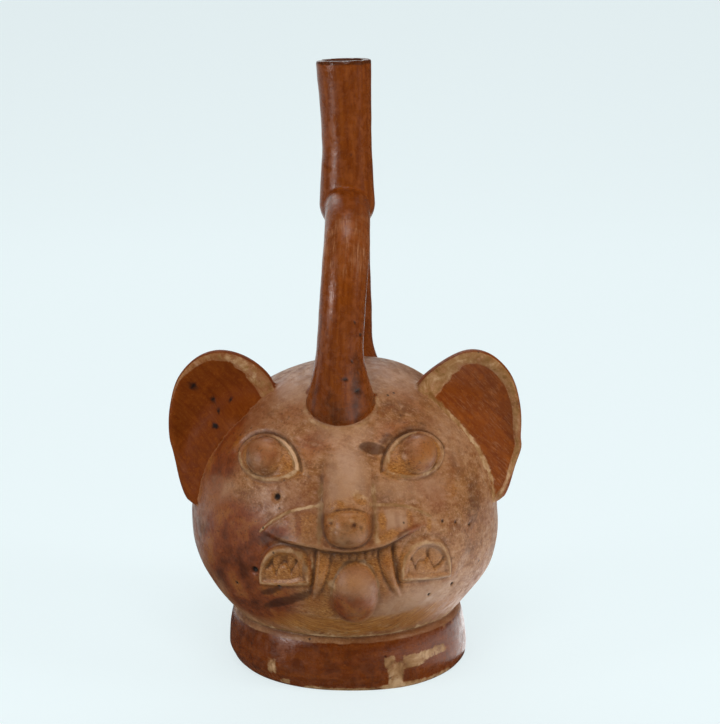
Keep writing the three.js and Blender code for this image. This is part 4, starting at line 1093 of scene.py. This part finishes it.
class Web:
    """A small helper that adds and joins shader nodes."""

    def __init__(self, tree):
        self.tree = tree

    def add(self, kind, inputs=None, **settings):
        node = self.tree.nodes.new(kind)
        for name, value in settings.items():
            setattr(node, name, value)
        for name, value in (inputs or {}).items():
            if isinstance(value, bpy.types.NodeSocket):
                self.tree.links.new(value, node.inputs[name])
            else:
                node.inputs[name].default_value = value
        return node

    def field(self, name):
        return self.add("ShaderNodeAttribute", attribute_name=name).outputs["Fac"]

    def vector(self, name):
        return self.add("ShaderNodeAttribute", attribute_name=name).outputs["Vector"]

    def noise(self, vector, scale, detail=4.0, rough=0.55, warp=0.0):
        inputs = {"Vector": vector, "Scale": scale, "Detail": detail, "Roughness": rough, "Distortion": warp}
        return self.add("ShaderNodeTexNoise", inputs).outputs["Fac"]

    def math(self, operation, a, b=0.0, c=0.0, clamp=False):
        node = self.add("ShaderNodeMath", operation=operation, use_clamp=clamp)
        for socket, value in zip(node.inputs, (a, b, c)):
            if isinstance(value, bpy.types.NodeSocket):
                self.tree.links.new(value, socket)
            else:
                socket.default_value = value
        return node.outputs[0]

    def band(self, value, low, high, start=0.0, end=1.0):
        inputs = {"Value": value, "From Min": low, "From Max": high, "To Min": start, "To Max": end}
        return self.add("ShaderNodeMapRange", inputs, interpolation_type="SMOOTHSTEP").outputs["Result"]

    def mix(self, factor, a, b):
        node = self.add("ShaderNodeMix", data_type="RGBA")
        for socket, value in ((node.inputs[0], factor), (node.inputs[6], a), (node.inputs[7], b)):
            if isinstance(value, bpy.types.NodeSocket):
                self.tree.links.new(value, socket)
            else:
                socket.default_value = value
        return node.outputs[2]

    def tints(self, colour, rows):
        """Mixes colours in, each by up to its weight where its noise goes from low to high."""
        for noise, low, high, weight, code in rows:
            colour = self.mix(self.band(noise, low, high, 0, weight), colour, linear(code))
        return colour

    def ragged(self, zone, noise, reach, offset):
        """A painted zone's weight, with its edge made ragged by a noise."""
        return self.math("ADD", self.field(zone), self.math("MULTIPLY_ADD", noise, reach, offset))

    def times(self, a, b):
        return self.math("MULTIPLY", a, b)

    def sum_of(self, total, parts):
        for value, share in parts:
            total = self.math("MULTIPLY_ADD", value, share, total)
        return total

    def ramp(self, value, stops):
        node = self.add("ShaderNodeValToRGB", {"Fac": value})
        elements = node.color_ramp.elements
        while len(elements) < len(stops):
            elements.new(0.5)
        for element, (place, code) in zip(elements, stops):
            element.position = place
            element.color = linear(code)
        return node.outputs["Color"]


def clay_material():
    """The fired clay: worn pale slip, red-brown slip, painted bands, dirt, painted light and shade, gloss and
    fine relief.
    """
    material = bpy.data.materials.new("fired_clay")
    material.use_nodes = True
    tree = material.node_tree
    shader = tree.nodes["Principled BSDF"]
    web = Web(tree)
    place = web.add("ShaderNodeTexCoord").outputs["Object"]
    grain = web.vector("grain")

    broad = web.noise(place, 26, 3)
    middle = web.noise(place, 85, 5, 0.6)
    small = web.noise(place, 320, 5, 0.62)
    dust = web.noise(place, 1100, 3, 0.6)
    streak = web.noise(grain, 0.55, 5, 0.6)
    thin_streak = web.noise(grain, 1.9, 3, 0.6)
    blotch = web.noise(place, 150, 4, 0.65, 0.6)

    # Worn pale slip of the head.
    tan = web.ramp(middle, [(0.28, "673a1e"), (0.44, "8d5a2f"), (0.57, "a3724b"), (0.72, "8f5529")])
    tan = web.tints(tan, [
        (streak, 0.48, 0.68, 0.75, "7a4119"), (streak, 0.48, 0.32, 0.6, "b68b6b"),
        (blotch, 0.5, 0.72, 0.35, "84502e"), (small, 0.5, 0.68, 0.45, "65391a"),
        (small, 0.46, 0.3, 0.38, "b2845c"), (dust, 0.54, 0.68, 0.4, "b98e69"),
        (dust, 0.46, 0.32, 0.4, "55331a"), (broad, 0.45, 0.65, 0.55, "7e4527"),
    ])
    # Pale grey slip, partly a painted sheen on the lower right cheek.
    grey_and_sheen_weight = web.times(web.field("grey"), web.band(blotch, 0.3, 0.6, 0.6, 1.1))
    colour = web.mix(grey_and_sheen_weight, tan, linear("ae8566"))
    ochre = web.ramp(thin_streak, [(0.3, "6e3e14"), (0.46, "92571f"), (0.6, "a66c30"), (0.75, "c08f58")])
    ochre = web.tints(ochre, [(dust, 0.46, 0.32, 0.5, "5a3210")])
    ochre_weight = web.band(web.ragged("ochre", middle, 0.9, -0.45), 0.22, 0.75, 0, 0.85)
    colour = web.mix(ochre_weight, colour, ochre)

    # Red-brown slip: thick and burnished on the tubes, thin and blushed on the cheek.
    red = web.ramp(streak, [(0.2, "5c2606"), (0.42, "713207"), (0.6, "803e0e"), (0.85, "884618")])
    red = web.tints(red, [
        (blotch, 0.42, 0.68, 0.45, "592306"), (thin_streak, 0.52, 0.78, 0.35, "451a05"),
        (small, 0.52, 0.68, 0.45, "924a14"), (dust, 0.56, 0.7, 0.4, "96541f"),
    ])
    # Painted shade: the left ear is made a darker red.
    left_ear = web.band(web.field("ear"), 0.7, 0.9)
    red = web.mix(web.times(left_ear, 0.3), red, linear("5e2504"))
    scraped = web.times(web.field("worn"), web.band(thin_streak, 0.48, 0.68, 0.1, 0.75))
    scraped = web.times(scraped, web.band(blotch, 0.4, 0.6, 0.25, 1.0))
    red = web.mix(scraped, red, linear("a8704a"))
    foot_weight = web.times(web.field("foot"), web.band(blotch, 0.35, 0.6, 0.65, 0.1))
    red = web.mix(foot_weight, red, linear("4a2110"))
    blush = web.ramp(middle, [(0.32, "4c1c03"), (0.5, "773207"), (0.66, "8f4f16")])
    blush = web.tints(blush, [(dust, 0.46, 0.32, 0.6, "3a1503")])
    blush_weight = web.band(web.ragged("blush", middle, 0.8, -0.4), 0.15, 0.85, 0, 0.92)
    colour = web.mix(blush_weight, colour, blush)
    red_weight = web.band(web.ragged("red", blotch, 0.5, -0.25), 0.4, 0.6)
    colour = web.mix(red_weight, colour, red)

    # Pale slip that is left on edges and in painted bands.
    cream_weight = web.band(web.ragged("cream", small, 1.3, -0.7), 0.22, 0.6, 0, 0.92)
    cream = web.ramp(blotch, [(0.35, "7c542b"), (0.5, "9d7349"), (0.64, "c29b73")])
    thick = web.band(web.field("cream"), 0.8, 1.0)
    cream = web.mix(web.times(thick, 0.8), cream, linear("e0b48c"))
    colour = web.mix(cream_weight, colour, cream)

    # Stains and painted shade beside the nose, painted shade in the hollows and painted light on the domes,
    # dirt and painted shade in the grooves, worn edges with a painted highlight, and pits.
    stain_and_shade = web.band(web.ragged("stain_and_shade", blotch, 0.8, -0.45), 0.2, 0.6, 0, 0.72)
    hollow, groove = web.field("hollow"), web.field("groove")
    # Painted shade in the broad hollows, and painted light on the domes (crown).
    shade = web.times(web.band(hollow, 0.1, 0.8, 0, 0.5), web.band(middle, 0.3, 0.6, 0.6, 1.0))
    crown = web.times(web.band(hollow, -0.2, -0.9, 0, 0.35), web.band(small, 0.3, 0.6, 0.3, 1.0))
    # Dirt and painted shade in the grooves, and edges worn bare that are also painted lighter as a highlight.
    dirt = web.times(web.band(groove, 0.08, 0.85, 0, 0.58), web.band(small, 0.25, 0.6, 0.6, 1.0))
    rubbed_and_highlit = web.times(web.band(groove, -0.12, -0.7, 0, 0.4), web.band(small, 0.35, 0.6, 0.2, 1.0))
    specks = web.add("ShaderNodeTexVoronoi", {"Vector": place, "Scale": 210.0, "Randomness": 1.0})
    rare = web.band(web.noise(place, 120, 2), 0.56, 0.66)
    speck = web.times(web.band(specks.outputs["Distance"], 0.16, 0.08), rare)
    pit = web.math("MAXIMUM", web.field("pits"), web.times(speck, 0.75))
    for weight, code in (
        (stain_and_shade, "3b1c0b"), (shade, "57300f"), (crown, "b07f55"),
        (dirt, "412410"), (rubbed_and_highlit, "a47854"), (pit, "1f1612"),
    ):
        colour = web.mix(weight, colour, linear(code))
    tree.links.new(colour, shader.inputs["Base Color"])

    # Burnished slip is smoother than the worn and bare places.
    gloss = web.sum_of(0.43, [
        (red_weight, -0.16), (cream_weight, 0.14), (web.band(web.field("ear"), 0.2, 0.5), 0.22),
        (web.band(small, 0.35, 0.7, -0.08, 0.14), 1.0),
    ])
    gloss = web.math("MULTIPLY_ADD", dirt, 0.25, gloss, clamp=True)
    tree.links.new(gloss, shader.inputs["Roughness"])
    on_ears = web.band(web.field("ear"), 0.1, 0.4, 0.24, 0.12)
    tree.links.new(web.sum_of(on_ears, [(left_ear, -0.08)]), shader.inputs["Specular IOR Level"])

    # Fine relief: tool marks along the grain, soft lumps and pores.
    tooled = web.times(thin_streak, web.math("MULTIPLY_ADD", web.field("brushed"), 0.6, 0.4))
    height = web.sum_of(web.times(middle, 0.30), [
        (small, 0.16), (dust, 0.075), (tooled, 0.12), (cream_weight, 0.05), (pit, -0.25),
    ])
    bump = web.add("ShaderNodeBump", {"Height": height, "Strength": 0.55, "Distance": 0.001})
    tree.links.new(bump.outputs["Normal"], shader.inputs["Normal"])
    return material


def studio():
    """The floor that turns up into a backdrop, the soft lamps and the room's even light."""
    paper = bpy.data.materials.new("paper")
    rows = [(-3.0, 0.0), (0.08, 0.0), (1.2, 0.0)]
    rows += [(1.2 + 0.8 * math.sin(a), 0.8 - 0.8 * math.cos(a)) for a in np.linspace(0.1, math.pi / 2, 14)]
    rows += [(2.0, 4.0)]
    points = [(x, y, z) for y, z in rows for x in (-5.0, -1.8, 0.25, 5.0)]
    corners = [4 * i + k for i in range(len(rows) - 1) for k in range(3)]
    cells = [(c, c + 1, c + 5, c + 4) for c in corners]
    # The burnished clay mirrors the bright paper behind it, and a dark room in front and at the sides.
    behind = [cell for cell in cells[3:] if cell[0] % 4 == 1]
    around = [cell for cell in cells if cell not in behind]
    for name, faces in (("floor", around), ("backdrop", behind)):
        mesh = bpy.data.meshes.new(name)
        mesh.from_pydata(points, [], faces)
        mesh.shade_smooth()
        mesh.materials.append(paper)
        thing = bpy.data.objects.new(name, mesh)
        thing.visible_glossy = name == "backdrop"
        bpy.context.scene.collection.objects.link(thing)
    paper.use_nodes = True
    shader = paper.node_tree.nodes["Principled BSDF"]
    shader.inputs["Base Color"].default_value = linear("7d8587")
    shader.inputs["Roughness"].default_value = 0.95
    shader.inputs["Specular IOR Level"].default_value = 0.0
    shader.inputs["Emission Color"].default_value = linear("e9f4f6")
    shader.inputs["Emission Strength"].default_value = 0.8

    world = bpy.data.worlds.new("studio")
    bpy.context.scene.world = world
    world.use_nodes = True
    background = world.node_tree.nodes["Background"]
    background.inputs["Color"].default_value = linear("f2f6fa")
    background.inputs["Strength"].default_value = 0.05

    # Name, place, aim, width, height, power, whether it lights the clay, and whether it mirrors in it.
    lamps = [
        ("ceiling", (0.0, -1.2, 1.9), (0, 0, 0.11), 1.3, 1.3, 25.5, True, False),
        ("left", (-1.0, -0.5, 0.5), (0, 0, 0.11), 0.3, 0.9, 3.6, True, False),
        ("left box", (-0.95, -0.55, 0.33), (0, 0, 0.16), 0.2, 0.4, 5.5, False, True),
        ("right", (1.05, -0.45, 0.5), (0, 0, 0.11), 0.3, 0.9, 5.6, True, False),
        ("right box", (1.05, -0.45, 0.4), (0, 0, 0.11), 0.3, 0.6, 0.35, False, True),
        ("top", (0.0, -0.1, 1.4), (0, 0, 0.11), 0.7, 0.5, 6.0, False, True),
        ("back", (-0.1, 1.3, 0.95), (0, 0, 0.11), 1.3, 0.5, 4.0, True, True),
        ("glow", (0.17, -0.08, 0.002), (0.17, -0.08, 1), 0.24, 0.3, 0.44, False, True),
    ]
    for name, place, target, width, height, power, lights, mirrors in lamps:
        lamp = bpy.data.lights.new(name, "AREA")
        lamp.shape = "RECTANGLE"
        lamp.size = width
        lamp.size_y = height
        lamp.energy = power
        thing = bpy.data.objects.new(name, lamp)
        thing.location = place
        thing.visible_diffuse = lights
        thing.visible_glossy = mirrors
        thing.visible_camera = False
        aim = Vector(target) - Vector(place)
        thing.rotation_euler = aim.to_track_quat("-Z", "Y").to_euler()
        bpy.context.scene.collection.objects.link(thing)


def photo_camera():
    """The camera stands in front of the face, a little above it, and looks slightly down."""
    pitch = math.radians(12.6)
    roll = math.radians(0.55)
    right = Vector((1, 0, 0))
    up = Vector((0, math.sin(pitch), math.cos(pitch)))
    forward = Vector((0, math.cos(pitch), -math.sin(pitch)))
    turned_right = math.cos(roll) * right - math.sin(roll) * up
    turned_up = math.cos(roll) * up + math.sin(roll) * right
    lens = bpy.data.cameras.new("camera")
    lens.lens = 94.13
    lens.sensor_width = 36
    lens.shift_y = 0.0028
    lens.clip_start = 0.05
    camera = bpy.data.objects.new("camera", lens)
    rotation = Matrix((turned_right, turned_up, -forward)).transposed()
    camera.matrix_world = Matrix.Translation((0.0064, -0.7596, 0.296)) @ rotation.to_4x4()
    bpy.context.scene.collection.objects.link(camera)
    bpy.context.scene.camera = camera


vessel = vessel_object()
vessel.name = "vessel_clay"
paint(vessel)
vessel.data.transform(Matrix.Translation(RING_PLACE))
vessel.data.transform(Matrix.Scale(0.001, 4))
vessel.data.materials.clear()
vessel.data.materials.append(clay_material())
vessel.data.shade_smooth()
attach(vessel, "root")
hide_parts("vessel")

studio()
photo_camera()
bpy.context.scene.view_settings.view_transform = "Standard"
